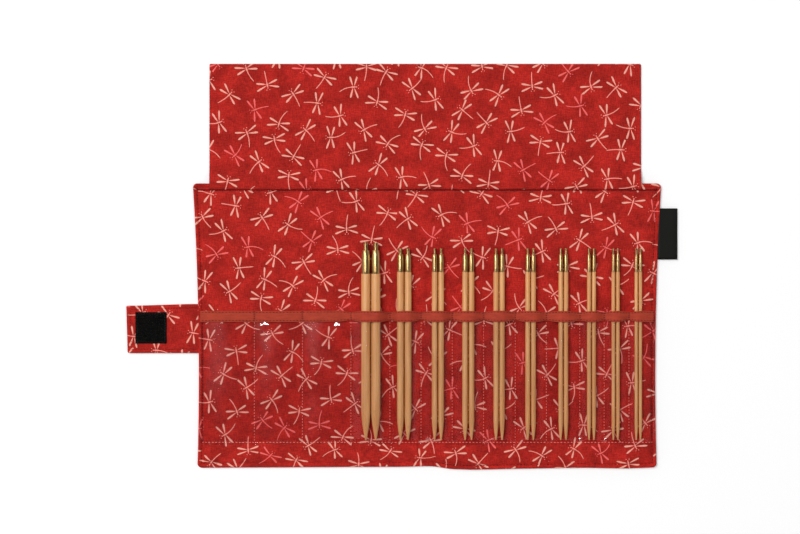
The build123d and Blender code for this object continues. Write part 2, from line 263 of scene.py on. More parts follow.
def sheet_line():
    """Cross-section of the pocket sheet's outer side, as lists of x and z."""
    low, steps = LINING_LEVEL - 0.35 * MM, range(13)
    line = [(-SHEET_SIDE, HEM_LEVEL), (-SIDE_STITCH, HEM_LEVEL)]
    for pocket, (left, right) in enumerate(zip(DIVIDERS, DIVIDERS[1:])):
        if pocket < EMPTY_POCKETS:
            for share in [step / 12 for step in steps]:
                rise = EMPTY_CREST * (1 - abs(2 * share - 1) ** 2.2)
                line.append((left + (right - left) * share, low + rise))
            continue
        points = [(left + 0.5 * MM, low), (right - 0.5 * MM, low)]
        for side in ("left", "right"):
            middle, height, radius = tip_line(pocket - EMPTY_POCKETS + 1, side)
            reach = radius + SHEET_CLEARANCE
            for angle in [math.pi * step / 12 for step in steps]:
                points.append((middle + reach * math.cos(angle), height + reach * math.sin(angle)))
        line += [(left, low)] + taut_line(points)
    line += [(SIDE_STITCH, HEM_LEVEL), (SHEET_SIDE, HEM_LEVEL)]
    return tuple(zip(*line))


SHEET_X, SHEET_Z = sheet_line()
SHEET_BLUR = [aside * MM for aside in (-1.4, -0.7, 0, 0.7, 1.4)]
WRINKLES = (                  # place across and along, half width across and along, in mm
    (-104.5, 1.4, 3.6, 1.6), (-57.5, 1.4, 3, 1.6), (1, -73.2, 2, 1.2), (42.5, -73.4, 1.6, 1),
    (99.5, -73.2, 1.8, 1.1), (115, -73.4, 1.6, 1),
)


def wrinkles(x, y):
    """Rise and share of the sheet's small wrinkles, tilted so that they catch the light; the clear
    sheet's material makes its reflection stronger by that share, a painted glint.
    """
    rise, most = 0.0, 0.0
    for across, along, wide, deep in WRINKLES:
        right, up = x / MM - across, y / MM - along
        share = math.exp(-((right / wide) ** 4) - (up / deep) ** 4)
        rise += share * (0.45 + 0.2 * right - 0.14 * up) * MM
        most = max(most, share)
    return rise, most


def sheet_level(x, y):
    """Outer side of the pocket sheet."""
    ground = lining_level(x, y) + 0.15 * MM
    line = blurred(x, SHEET_BLUR, SHEET_X, SHEET_Z)
    rise = math.sin(math.pi / 2 * min(1.0, max(0.0, (y - SHEET_SEAM) / (3.4 * MM))))
    swell = 0.18 * MM * (0.5 + 0.5 * wander(x, y, 16 * MM, 21)) * (1 - divider_dip(x))
    return max(ground, ground + (line - ground) * rise) + swell * rise + wrinkles(x, y)[0]


# Modelling helpers
def start_object():
    """Leave edit mode with nothing selected, before a new primitive."""
    if bpy.context.object and bpy.context.object.mode != "OBJECT":
        bpy.ops.object.mode_set(mode="OBJECT")
    bpy.ops.object.select_all(action="DESELECT")


def pick(*objects):
    """Select these objects only, the first one active."""
    start_object()
    for item in objects:
        item.select_set(True)
    bpy.context.view_layer.objects.active = objects[0]


def apply_modifier(item, kind, **settings):
    """Add a modifier with these settings and apply it."""
    modifier = item.modifiers.new(kind.title(), kind)
    for name, value in settings.items():
        setattr(modifier, name, value)
    pick(item)
    bpy.ops.object.modifier_apply(modifier=modifier.name)


def apply_place(item):
    """Put an object's place, turn and scale into its mesh."""
    pick(item)
    bpy.ops.object.transform_apply(location=True, rotation=True, scale=True)


def join(name, parts):
    """Join objects into one, with its place in its mesh."""
    pick(*parts)
    if len(parts) > 1:
        bpy.ops.object.join()
    item = bpy.context.object
    apply_place(item)
    item.name = name
    item.data.name = name
    return item


def edit(item, *steps):
    """Run steps in edit mode with the whole mesh selected."""
    pick(item)
    bpy.ops.object.mode_set(mode="EDIT")
    bpy.ops.mesh.select_all(action="SELECT")
    for step in steps:
        step()
    bpy.ops.object.mode_set(mode="OBJECT")


def merge_doubles():
    bpy.ops.mesh.remove_doubles(threshold=0.01 * MM)


def thicken(item, thickness):
    """Give cloth its thickness, below the surface that it was drawn as."""
    apply_modifier(item, "SOLIDIFY", thickness=thickness, offset=-1)


def repeat(item, step, **settings):
    """A row of copies, each that step from the one before."""
    settings.update(use_relative_offset=False, use_constant_offset=True)
    apply_modifier(item, "ARRAY", constant_offset_displace=step, **settings)


def finish_piece(item, material, slot, *nodes, angle=None):
    """Shade a piece, give it its material, and let it stand for its frame nodes."""
    pick(item)
    if angle is None:
        bpy.ops.object.shade_smooth()
    else:
        bpy.ops.object.shade_smooth_by_angle(angle=math.radians(angle))
    item.data.materials.clear()
    item.data.materials.append(material)
    if nodes:
        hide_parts(*nodes)
    return item


def finish_cotton(item, context, *nodes, angle=None):
    """Finish a piece in the printed cotton that the case's cloths share."""
    name = "dragonfly_cotton"
    material = bpy.data.materials.get(name) or cotton_finish(name, context.scene.needle_cloth)
    return finish_piece(item, material, "printed_cotton", *nodes, angle=angle)


def blend_over_fold(piece):
    """Put a piece's place and turn into its mesh."""
    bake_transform(piece)


def spread(low, high, step):
    """Evenly spaced places from low to high, or down to it, about a step apart."""
    count = max(1, round(abs(high - low) / step))
    return [low + (high - low) * n / count for n in range(count + 1)]


RIM_STEPS = [inset * MM for inset in (0, 0.15, 0.5, 1, 1.6, 2.1, 2.6, 3.1, 3.8, 5)]


def bordered(low, high, step, low_rim=True, high_rim=True):
    """Like spread, with closer places along a border."""
    near = [low + inset for inset in RIM_STEPS] if low_rim else [low]
    far = [high - inset for inset in reversed(RIM_STEPS)] if high_rim else [high]
    return near[:-1] + spread(near[-1], far[0], step) + far[1:]


def finer(lines, low, high, step):
    """Lines with those between low and high set that much closer."""
    kept = [line for line in lines if line < low - step / 2 or line > high + step / 2]
    return sorted(kept + spread(low, high, step))


def over_fold(lines):
    """Columns that are close enough to bend round over the centre fold."""
    return finer(lines, FOLD_X - 14 * MM, FOLD_X + 14 * MM, 1.1 * MM)


def cloth_grid(name, columns, rows, place, cut=(0, 0)):
    """A grid of cloth with its lines at columns and rows of the flat cut, set out by place.

    Its UV map holds the flat cut in metres, so that the print keeps its size.
    """
    start_object()
    bpy.ops.mesh.primitive_grid_add(
        x_subdivisions=len(columns) - 1, y_subdivisions=len(rows) - 1, size=2
    )
    item = bpy.context.object
    item.name = name
    mesh = item.data
    if len(mesh.vertices) != len(columns) * len(rows):
        raise RuntimeError(f"{name}: the grid has {len(mesh.vertices)} points")
    flat = []
    for vertex in mesh.vertices:
        column = columns[round((vertex.co.x + 1) / 2 * (len(columns) - 1))]
        row = rows[round((vertex.co.y + 1) / 2 * (len(rows) - 1))]
        flat.append((column, row))
        vertex.co = place(column, row)
    layer = mesh.uv_layers[0]
    layer.name = "cloth"
    for loop in mesh.loops:
        u, v = flat[loop.vertex_index]
        layer.data[loop.index].uv = (u + cut[0], v + cut[1])
    return item


def envelope(name, columns, rows, top, bottom, cut=(0, 0)):
    """Two layers of cloth that meet at their border, as one closed piece."""
    upper = cloth_grid(name, columns, rows, top, cut)
    lower = cloth_grid(name + "_under", columns, rows, bottom, (cut[0] + 0.31, cut[1] + 0.17))
    edit(lower, bpy.ops.mesh.flip_normals)
    whole = join(name, [upper, lower])
    edit(whole, merge_doubles)
    return whole


def close_ends(piece):
    """Close the open ends of a two-layer piece."""
    def close():
        bpy.ops.mesh.select_all(action="DESELECT")
        bpy.ops.mesh.select_non_manifold()
        bpy.ops.mesh.fill_holes(sides=0)

    edit(piece, close)


def rounded_corner(x, y, right, top, radius):
    """Pull a square corner's grid lines onto a round one."""
    over_x, over_y = abs(x) - (right - radius), abs(y) - (top - radius)
    if over_x <= 0 or over_y <= 0:
        return x, y
    scale = max(over_x, over_y) / math.hypot(over_x, over_y)
    new_x = right - radius + over_x * scale
    new_y = top - radius + over_y * scale
    return math.copysign(new_x, x), math.copysign(new_y, y)


SETTLING = {                  # cotton that grows by 1.2 % and is pressed up by the padding
    "quality": 6,
    "mass": 0.2,
    "tension_stiffness": 20,
    "compression_stiffness": 20,
    "shear_stiffness": 10,
    "bending_stiffness": 0.05,
    "shrink_min": -0.012,
    "use_pressure": True,
    "uniform_pressure_force": 0.6,
}


def relax_cloth(item, held, frames, cap):
    """Let cloth settle by simulation; held(place) is 1 where stitches hold it.

    No point ends further than cap from where it began.
    """
    vertices = item.data.vertices
    before = [vertex.co.copy() for vertex in vertices]
    group = item.vertex_groups.new(name="sewn")
    for vertex in vertices:
        group.add([vertex.index], held(vertex.co), "REPLACE")
    modifier = item.modifiers.new("Settle", "CLOTH")
    for name, value in SETTLING.items():
        setattr(modifier.settings, name, value)
    modifier.settings.effector_weights.gravity = 0
    modifier.settings.vertex_group_mass = group.name
    modifier.collision_settings.use_self_collision = False
    modifier.point_cache.frame_end = frames
    for number in range(1, frames + 1):
        bpy.context.scene.frame_set(number)
    pick(item)
    bpy.ops.object.modifier_apply(modifier=modifier.name)
    bpy.context.scene.frame_set(1)
    for vertex, start in zip(item.data.vertices, before):
        move = vertex.co - start
        if move.length > cap:
            vertex.co = start + move * (cap / move.length)
    item.vertex_groups.clear()


def stitch_row(points, pitch, length, radius):
    """Flattened stitches of that length, one each pitch, along a path of points."""
    start_object()
    bpy.ops.mesh.primitive_uv_sphere_add(segments=6, ring_count=4, radius=radius)
    stitch = bpy.context.object
    edit(
        stitch,
        lambda: bpy.ops.transform.resize(value=(length / 2 / radius, 1, 0.7)),
        lambda: bpy.ops.transform.translate(value=(length / 2, 0, 0)),
    )
    curve = bpy.data.curves.new("stitch_path", "CURVE")
    curve.dimensions = "3D"
    spline = curve.splines.new("POLY")
    spline.points.add(len(points) - 1)
    for point, place in zip(spline.points, points):
        point.co = (*place, 1)
    path = bpy.data.objects.new("stitch_path", curve)
    bpy.context.collection.objects.link(path)
    repeat(stitch, (pitch, 0, 0), fit_type="FIT_CURVE", curve=path)
    apply_modifier(stitch, "CURVE", object=path, deform_axis="POS_X")
    bpy.data.objects.remove(path)
    return stitch


# Finishes
class Wire:
    """What a node gives out, which can be reckoned with like a number."""

    def __init__(self, finish, socket):
        self.finish = finish
        self.socket = socket

    def __add__(self, other):
        return self.finish.math("ADD", self, other)

    def __sub__(self, other):
        return self.finish.math("SUBTRACT", self, other)

    def __mul__(self, other):
        return self.finish.math("MULTIPLY", self, other)

    def __truediv__(self, other):
        return self.finish.math("DIVIDE", self, other)

    def __pow__(self, other):
        return self.finish.math("POWER", self, other)

    def __abs__(self):
        return self.finish.math("ABSOLUTE", self)

    def other(self, output):
        """Another output of the same node."""
        return Wire(self.finish, self.socket.node.outputs[output])


class Finish:
    """A material being made, with short calls for its nodes."""

    def __init__(self, name):
        self.material = bpy.data.materials.new(name)
        self.material.use_nodes = True
        self.tree = self.material.node_tree
        self.surface = self.tree.nodes["Principled BSDF"]
        self.output = self.tree.nodes["Material Output"]

    def feed(self, socket, value):
        """Link a wire to a socket, or set the socket to a value."""
        if isinstance(value, Wire):
            self.tree.links.new(value.socket, socket)
        elif socket.type == "RGBA":
            socket.default_value = (*value[:3], 1.0)
        else:
            socket.default_value = value

    def node(self, kind, inputs, output=0, **settings):
        """Add a node and return the wire of one of its outputs."""
        made = self.tree.nodes.new(kind)
        for name, value in settings.items():
            setattr(made, name, value)
        for name, value in inputs.items():
            self.feed(made.inputs[name], value)
        return Wire(self, made.outputs[output])

    def math(self, operation, *inputs):
        return self.node("ShaderNodeMath", dict(enumerate(inputs)), operation=operation)

    def extreme(self, operation, *values):
        """The MINIMUM or MAXIMUM of values."""
        return functools.reduce(lambda one, other: self.math(operation, one, other), values)

    def range(self, value, low, high, to_low=0.0, to_high=1.0):
        """A value's smooth step from low to high, brought to another range."""
        inputs = {"Value": value, "From Min": low, "From Max": high}
        inputs.update({"To Min": to_low, "To Max": to_high})
        return self.node("ShaderNodeMapRange", inputs, interpolation_type="SMOOTHSTEP")

    def noise(self, vector, size, detail=2.0, stretch=(1, 1, 1)):
        """Noise with features of about that size in metres, longer where stretch is larger."""
        scale = tuple(1 / (size * s) for s in stretch)
        place = self.node("ShaderNodeMapping", {"Vector": vector, "Scale": scale})
        inputs = {"Vector": place, "Scale": 1.0, "Detail": detail}
        return self.node("ShaderNodeTexNoise", inputs, "Fac")

    def blend(self, share, first, second, kind="MIX"):
        """Mix of two colours."""
        made = self.node("ShaderNodeMix", {}, 2, data_type="RGBA", blend_type=kind)
        for place, value in ((0, share), (6, first), (7, second)):
            self.feed(made.socket.node.inputs[place], value)
        return made

    def shade(self, tone, value, low, high, dark, light):
        """A colour made darker or lighter by a value's range."""
        return self.blend(1.0, tone, self.range(value, low, high, dark, light), "MULTIPLY")

    def cut_place(self):
        """Place on the flat cut of the cloth, in metres."""
        return self.node("ShaderNodeUVMap", {}, uv_map="cloth")

    def object_place(self):
        return self.node("ShaderNodeTexCoord", {}, "Object")

    def split(self, vector):
        """The X and Y of a vector."""
        first = self.node("ShaderNodeSeparateXYZ", {0: vector})
        return first, first.other(1)

    def bump(self, height, distance, strength):
        inputs = {"Height": height, "Strength": strength, "Distance": distance}
        self.set(normal=self.node("ShaderNodeBump", inputs))

    def set(self, **values):
        """Feed the surface's sockets, named in small letters."""
        for name, value in values.items():
            words = name.replace("_", " ").title().replace("Ior", "IOR")
            self.feed(self.surface.inputs[words], value)


def scaled(tone, share):
    """A colour that share as bright."""
    return [part * share for part in tone]


def plain_weave(finish, place, pitch):
    """Height of a plain weave, from -0.5 to 0.5, with threads that pitch apart."""
    across, along = (finish.math("SINE", part * (math.pi / pitch)) for part in finish.split(place))
    return across * along * 0.5


def oval(along, across, power=2.0):
    """Below 0 inside an oval of half sizes 1, blunter at its ends with a higher power."""
    return abs(along) ** power + abs(across) ** 2.0 - 1.0


def wing(finish, beside, y, root, lean, length, width):
    """Like oval for a paddle, wider towards its tip, from beside the body outwards."""
    out, up = beside - 0.75, y - root
    along = out * math.cos(lean) + up * math.sin(lean)
    across = up * math.cos(lean) - out * math.sin(lean)
    share = along / length
    outer = finish.math("MAXIMUM", share, 0.0)
    wide = finish.math("MULTIPLY_ADD", outer, width * 0.7, width * 0.42)
    return oval(finish.math("MULTIPLY_ADD", share, 2.0, -1.0), across / wide, 3.0)


def dragonfly_scatter(finish, place, pitch):
    """Mask, outline, random value and millimetres from the body, of small dragonflies."""
    inputs = {"Vector": place, "Rotation": (0, 0, 0.42), "Scale": (1 / pitch,) * 3}
    spot = finish.node("ShaderNodeMapping", inputs)
    inputs = {"Vector": spot, "Scale": 1.0, "Randomness": 0.34}
    cells = finish.node("ShaderNodeTexVoronoi", inputs, "Position", voronoi_dimensions="2D")
    away = finish.node("ShaderNodeVectorMath", {0: spot, 1: cells}, operation="SUBTRACT")
    chance = finish.node("ShaderNodeSeparateColor", {0: cells.other("Color")})
    inputs = {"Vector": away, "Angle": chance * (2 * math.pi)}
    local = finish.node("ShaderNodeVectorRotate", inputs, rotation_type="Z_AXIS")
    x, y = (part * (pitch / MM) for part in finish.split(local))
    beside, reach = abs(x), y - 1.0
    swing = reach * reach * ((chance.other(1) - 0.5) * 0.11)
    nearest = finish.extreme(
        "MINIMUM",
        wing(finish, beside, y, 2.2, 0.33, 7.0, 0.66),
        wing(finish, beside, y, 1.2, -0.27, 6.4, 0.73),
        oval((y + 3.1) / 4.6, (x - swing) / 0.32, 6.0),
        oval((y - 1.5) / 1.8, x / 0.55),
        oval((y - 3.7) / 0.4, x / 0.42),
        oval((y - 4.9) / 0.3, (beside - 0.95) / 0.3),
    )
    mask, outline = finish.range(nearest, 0.25, -0.25), finish.range(nearest, 1.0, 0.2)
    return mask, outline, chance.other(2), beside


def cotton_finish(name, settings):
    """Plain-woven cotton with its print."""
    finish = Finish(name)
    place = finish.cut_place()
    mask, outline, chance, body = dragonfly_scatter(finish, place, settings.print_pitch)
    weave = plain_weave(finish, place, settings.thread_pitch)
    warp = finish.noise(place, 0.55 * MM, 2, (1, 7, 1))
    weft = finish.noise(place, 0.55 * MM, 2, (7, 1, 1))
    slub = (warp + weft) * 0.5
    fleck = finish.noise(place, 0.8 * MM, 1)
    cloud = finish.range(finish.noise(place, 13 * MM, 3), 0.34, 0.66)
    ground = finish.blend(cloud, scaled(settings.ground, 0.8), scaled(settings.ground, 1.13))
    ground = finish.shade(ground, slub, 0.38, 0.62, 0.74, 1.2)
    ground = finish.shade(ground, fleck, 0.3, 0.6, 0.8, 1.05)
    ground = finish.shade(ground, outline, 0, 1, 1.0, 0.72)
    coral = finish.math("GREATER_THAN", chance, 0.87)
    ink = finish.blend(finish.range(body, 3.2, 0.4), settings.print_light, settings.print_body)
    ink = finish.blend(coral, ink, settings.print_coral)
    worn = mask * finish.range(slub, 0.3, 0.5, 0.8, 0.97)
    # the weave's height darkens the colour in its hollows and lightens it on its crowns: painted
    # shade and highlight
    finish.set(
        base_color=finish.shade(finish.blend(worn, ground, ink), weave, -0.5, 0.5, 0.9, 1.06),
        roughness=0.9,
        sheen_weight=0.03,
        sheen_roughness=0.4,
        specular_ior_level=0.12,
    )
    finish.bump(weave + slub * 2, 0.05 * MM, 0.6)
    return finish.material


def tape_finish(settings):
    """Ribbed binding tape."""
    finish = Finish("twill_tape")
    place = finish.cut_place()
    weave = plain_weave(finish, place, 0.38 * MM)
    slub = finish.range(finish.noise(place, 1.2 * MM, 3, (5, 1, 1)), 0.3, 0.7)
    base = finish.blend(slub, scaled(settings.tape, 0.8), settings.tape)
    # the weave's height darkens the colour in its hollows and lightens it on its crowns: painted
    # shade and highlight
    base = finish.shade(base, weave, -0.5, 0.5, 0.85, 1.08)
    finish.set(base_color=base, roughness=0.8, specular_ior_level=0.12)
    finish.bump(weave, 0.08 * MM, 0.8)
    return finish.material


def fibre_finish(name, dark, light, grain, span=(), relief=(), on_cut=False, **surface):
    """Fibres in two colours.

    Grain is their noise's size, detail and stretch; span is the part of it from dark to light;
    relief is how far they stand out, and how strongly.
    """
    finish = Finish(name)
    fibre = finish.noise(finish.cut_place() if on_cut else finish.object_place(), *grain)
    share = finish.range(fibre, *span) if span else fibre
    finish.set(base_color=finish.blend(share, dark, light), **surface)
    if relief:
        finish.bump(fibre, *relief)
    return finish.material


def thread_finish(name, tone):
    """Twisted sewing thread."""
    surface = {"roughness": 0.7, "specular_ior_level": 0.2}
    return fibre_finish(name, scaled(tone, 0.72), tone, (0.4 * MM,), (0.35, 0.65), **surface)


def nylon_finish(name, tone, pile):
    """Black nylon tape; pile is the size of its fuzz."""
    surface = {"roughness": 0.8, "specular_ior_level": 0.04}
    relief = (0.15 * MM, 0.8)
    return fibre_finish(name, tone, scaled(tone, 16), (pile, 4), (0.52, 0.72), relief, **surface)


def satin_finish(settings):
    """Black woven satin ribbon, bare, with its floats along it."""
    surface = {"roughness": 0.55, "specular_ior_level": 0.12}
    tones, grain = (scaled(settings.label, 0.7), settings.label), (0.16 * MM, 2, (14, 1, 1))
    return fibre_finish("satin_ribbon", *tones, grain, (), (0.03 * MM, 0.6), True, **surface)


def batting_finish():
    """Off-white padding."""
    tones, grain = ((0.78, 0.77, 0.72), (0.9, 0.89, 0.86)), (1.5 * MM, 5)
    return fibre_finish("padding_fibre", *tones, grain, (), (0.4 * MM, 0.8), roughness=0.95)


def clear_finish(settings):
    """Thin clear sheet: it shows what is under it and catches the lamps, with its reflection made
    stronger at the wrinkles as a painted glint.
    """
    finish = Finish("clear_sheet")
    place = finish.object_place()
    smear = finish.range(finish.noise(place, 30 * MM, 3), 0.3, 0.7, 0.08, 0.16)
    finish.set(base_color=(0.95, 0.95, 0.95), roughness=smear, metallic=1.0)
    finish.bump(finish.noise(place, 9 * MM, 2, (1, 1.6, 1)), 0.5 * MM, 0.15)
    crumple = finish.node("ShaderNodeAttribute", {}, "Fac", attribute_name="crumple")
    glint = finish.math("MINIMUM", finish.node("ShaderNodeFresnel", {"IOR": 1.5}), 0.16)
    # painted glint: the reflection's share is raised at the wrinkles and lowered elsewhere
    glint *= finish.range(crumple, 0.2, 0.6, 0.3, 2.6)
    lit = finish.node("ShaderNodeLightPath", {}, "Is Shadow Ray")
    behind = finish.node("ShaderNodeNewGeometry", {}, "Backfacing")
    share = glint * finish.math("SUBTRACT", 1.0, finish.math("MAXIMUM", lit, behind))
    clear = finish.node("ShaderNodeBsdfTransparent", {"Color": settings.clear})
    sheen = Wire(finish, finish.surface.outputs[0])
    mixed = finish.node("ShaderNodeMixShader", {0: share, 1: clear, 2: sheen})
    finish.feed(finish.output.inputs["Surface"], mixed)
    return finish.material


def bamboo_finish(settings):
    """Polished bamboo, with its fibres along the shaft."""
    finish = Finish("bamboo_cane")
    place = finish.object_place()
    fibre = finish.noise(place, 0.35 * MM, 4, (1, 60, 1))
    band = finish.range(finish.noise(place, 2.5 * MM, 2, (1, 14, 1)), 0.3, 0.7)
    speck = finish.noise(place, 0.22 * MM, 1, (1, 14, 1))
    base = finish.blend(band, settings.bamboo_dark, settings.bamboo_light)
    base = finish.shade(base, fibre, 0.3, 0.7, 0.86, 1.06)
    base = finish.shade(base, speck, 0.66, 0.74, 1.0, 0.72)
    finish.set(base_color=base, roughness=0.5, coat_weight=0.04, coat_roughness=0.3)
    finish.bump(fibre, 0.02 * MM, 0.5)
    return finish.material


def brass_finish(settings):
    """Turned brass with a little tarnish."""
    finish = Finish("turned_brass")
    stain = finish.noise(finish.object_place(), 5 * MM, 1)
    dull = finish.range(stain, 0.35, 0.7)
    finish.set(
        base_color=finish.blend(dull, settings.brass, settings.brass_dark),
        metallic=1.0,
        roughness=finish.range(stain, 0.3, 0.75, 0.33, 0.39),
    )
    return finish.material


# Settings that a user would change
def tint(name, description, value):
    return FloatVectorProperty(
        name=name, description=description, default=value, subtype="COLOR", size=3, min=0, max=1
    )


def measure(name, description, value):
    return FloatProperty(name=name, description=description, default=value, unit="LENGTH")


def power(name, description, value):
    return FloatProperty(name=name, description=description, default=value, unit="POWER")


class ClothSettings(bpy.types.PropertyGroup):
    ground: tint("Ground", "Colour of the cotton", (0.425, 0.0175, 0.0125))
    print_light: tint("Print", "Colour of most of the printed figures", (0.86, 0.36, 0.28))
    print_body: tint("Print, bodies", "Colour of those figures' bodies", (0.88, 0.28, 0.225))
    print_coral: tint("Second print", "Colour of the other printed figures", (0.85, 0.13, 0.12))
    print_pitch: measure("Print spacing", "Distance between printed figures", 17.5 * MM)
    thread_pitch: measure("Thread spacing", "Distance between the cotton's threads", 0.34 * MM)
    tape: tint("Tape", "Colour of the binding tape", (0.43, 0.052, 0.028))
    label: tint("Label", "Colour of the bare label", (0.0068, 0.0068, 0.0058))
    clear: tint("Clear sheet", "What the clear sheet lets through", (0.95, 0.945, 0.95))
    hook: tint("Hook tape", "Colour of the hook and loop tapes", (0.0015, 0.0014, 0.0013))


class StitchSettings(bpy.types.PropertyGroup):
    pitch: measure("Stitch spacing", "Distance from one stitch to the next", 2.2 * MM)
    length: measure("Stitch length", "Length of a stitch", 1.5 * MM)
    thread: measure("Thread radius", "Radius of the sewing thread", 0.2 * MM)
    # dark as the real stitches are, and darker still as painted shade in the border's groove
    edge: tint("Edge thread", "Thread along the borders", (0.05, 0.004, 0.004))
    pocket: tint("Pocket thread", "Thread between the pockets", (0.95, 0.36, 0.3))
    bar: tint("Bar thread", "Thread of the bars on the tape", (0.12, 0.01, 0.008))
    # nearly black: partly the seam's thread, partly painted shadow in the crease
    crease: tint("Seam thread", "Thread in the crease under the flap", (0.03, 0.002, 0.002))


class TipSettings(bpy.types.PropertyGroup):
    bamboo_light: tint("Bamboo", "Colour of the bamboo's pale fibres", (0.69, 0.34, 0.128))
    bamboo_dark: tint("Bamboo, dark", "Colour of its darker bands", (0.6, 0.255, 0.08))
    brass: tint("Brass", "Colour of the sleeves", (0.53, 0.365, 0.165))
    brass_dark: tint("Brass, tarnished", "Colour where it has dulled", (0.43, 0.285, 0.11))
    thread_pitch: measure("Thread pitch", "Pitch of the screw thread on the studs", 0.4 * MM)
    sides: IntProperty(name="Sides", description="Faces around a shaft", default=28, min=8)


class StageSettings(bpy.types.PropertyGroup):
    view_width: measure("View width", "Width of the table that the camera sees", 520 * MM)
    view_x: measure("View middle X", "What the middle of the view shows", -17.55 * MM)
    view_y: measure("View middle Y", "What the middle of the view shows", 38.8 * MM)
    lens: FloatProperty(name="Lens", description="Focal length of the camera", default=120)
    key: power("Key lamp", "Power of the key lamp", 124)
    fill: power("Fill lamp", "Power of the fill lamp", 24)
    sky: FloatProperty(name="Surround", description="Strength of the pale surround", default=1.0)


# Panel: cover, padding and lining
LOOP_LOW, LOOP_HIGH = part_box("loop_patch")
LOWER_SHAPED = -78 * MM       # below this the panel follows its drawn-up lower border
PADDING_INSET = 4.6 * MM
PADDING_END = TOP_EDGE - 3.4 * MM
PADDING_MIDDLE = 1.4 * MM


def set_out(x, y):
    """Where a place on the panel lies once its corners and lower border are shaped."""
    lower = smooth((LOWER_SHAPED - y) / (13 * MM))
    new_x, new_y = rounded_corner(x, y, side_border(y), TOP_EDGE, CORNER)
    return new_x, new_y + lower * lower_border_rise(x)


def widen(u, v):
    """Place across the panel of a line of the flat cut."""
    return u * side_border(v) / HALF_WIDTH


def on_panel(places, level, lift=0.0):
    """Points on a surface of the panel, or just off it, at these places."""
    return [(*set_out(x, y), level(x, y) + lift) for x, y in places]


def panel_grid(name, columns, rows, level, cut):
    """A grid of cloth over the whole panel, wider where its side borders are."""
    def place(u, v):
        return on_panel([(widen(u, v), v)], level)[0]

    return cloth_grid(name, columns, rows, place, cut)


def loop_recess(x, y):
    """1 where the loop patch is let into the back."""
    beside = min(x - LOOP_LOW[0], LOOP_HIGH[0] - x, y - LOOP_LOW[1], LOOP_HIGH[1] - y)
    return smooth(beside / (1 * MM) + 1)


def cover_level(x, y, edge=None):
    """Outer side of the cover, under the case."""
    edge = panel_edge(x, y) if edge is None else edge
    level = SEAM_LEVEL * (1 - rounded(edge, 1 * MM))
    level += 0.3 * MM * bump_at(edge, EDGE_STITCH, 0.7 * MM)
    level += 0.35 * MM * divider_dip(x) * pocket_share(y)
    level += 0.3 * MM * bump_at(y, SHEET_SEAM, 1 * MM) * smooth(edge / (3 * MM))
    level += 0.12 * MM * max(0.0, wander(x, y, 30 * MM, 31)) * smooth(edge / (8 * MM))
    return level + 0.85 * MM * loop_recess(x, y)


def padding_level(x, y, low_side):
    """Upper or lower side of the padding, which keeps clear of both cloths."""
    edge = panel_edge(x, y)
    swell = smooth((min(edge, PADDING_END - y) - PADDING_INSET) / (6 * MM))
    if low_side:
        level = cover_level(x, y) + 0.6 * MM
    else:
        asides = (-2.5 * MM, 0, 2.5 * MM)
        lowest = min(lining_level(x + dx, y + dy) for dx in asides for dy in asides)
        level = max(PADDING_MIDDLE + 0.1 * MM, lowest - 0.7 * MM)
    return PADDING_MIDDLE + (level - PADDING_MIDDLE) * swell


def held_lining(place):
    """1 where stitches or the border hold the lining."""
    edge = panel_edge(place.x, place.y)
    in_pockets = SHEET_SEAM - 1 * MM < place.y < TAPE_HIGH
    return float(
        edge < HEM_WIDTH + 0.3 * MM
        or in_pockets and min(abs(place.x - divider) for divider in DIVIDERS) < 1.2 * MM
        or abs(place.y - SHEET_SEAM) < 1.2 * MM
        or place.y > FLAP_SEAM - 2 * MM
    )


class NEEDLECASE_OT_cover(bpy.types.Operator):
    """Outer cotton of the case, turned up at its border"""

    bl_idname = "needlecase.cover"
    bl_label = "Cover"

    def execute(self, context):
        columns = over_fold(bordered(-HALF_WIDTH, HALF_WIDTH, COVER_STEP))
        rows = bordered(-TOP_EDGE, TOP_EDGE, COVER_STEP)
        cover = panel_grid("case_cover", columns, rows, cover_level, (0.71, 0.33))
        edit(cover, bpy.ops.mesh.flip_normals)
        thicken(cover, COTTON)
        finish_cotton(cover, context, "cover_right", "cover_left")
        blend_over_fold(cover)
        return {"FINISHED"}


class NEEDLECASE_OT_padding(bpy.types.Operator):
    """Padding between cover and lining"""

    bl_idname = "needlecase.padding"
    bl_label = "Padding"

    def execute(self, context):
        across = HALF_WIDTH - PADDING_INSET
        columns = over_fold(spread(-across, across, PADDING_STEP))
        rows = spread(PADDING_INSET - TOP_EDGE, PADDING_END - PADDING_INSET, PADDING_STEP)

        def layer(low_side):
            def place(u, v):
                x = widen(u, v)
                return (*set_out(x, v), padding_level(x, v, low_side))

            return place

        padding = envelope("case_padding", columns, rows, layer(False), layer(True))
        finish_piece(padding, batting_finish(), "batting", "padding_right", "padding_left")
        blend_over_fold(padding)
        return {"FINISHED"}


class NEEDLECASE_OT_lining(bpy.types.Operator):
    """Inner cotton, puffed over the padding and held down by the stitching"""

    bl_idname = "needlecase.lining"
    bl_label = "Lining"

    def execute(self, context):
        columns = over_fold(bordered(-HALF_WIDTH, HALF_WIDTH, LINING_STEP))
        columns = finer(columns, STRIP_CREASE - 1.35 * MM, STRIP_CREASE + 1.35 * MM, 0.45 * MM)
        rows = bordered(-TOP_EDGE, TOP_EDGE, LINING_STEP)
        rows = sorted(rows + [CREASE + n * 0.27 * MM for n in range(-9, 5)])
        lining = panel_grid("case_lining", columns, rows, lining_level, (0.13, 0.19))
        relax_cloth(lining, held_lining, frames=12, cap=0.5 * MM)
        for place in [vertex.co for vertex in lining.data.vertices]:
            if panel_edge(place.x, place.y) > HEM_WIDTH:
                place.z = LINING_LEVEL + under_tips(place.z - LINING_LEVEL)
                if place.y < 58 * MM:
                    place.z = min(place.z, LINING_LEVEL + 0.1 * MM)
        thicken(lining, COTTON)
        finish_cotton(lining, context, "lining_right", "lining_left")
        blend_over_fold(lining)
        return {"FINISHED"}


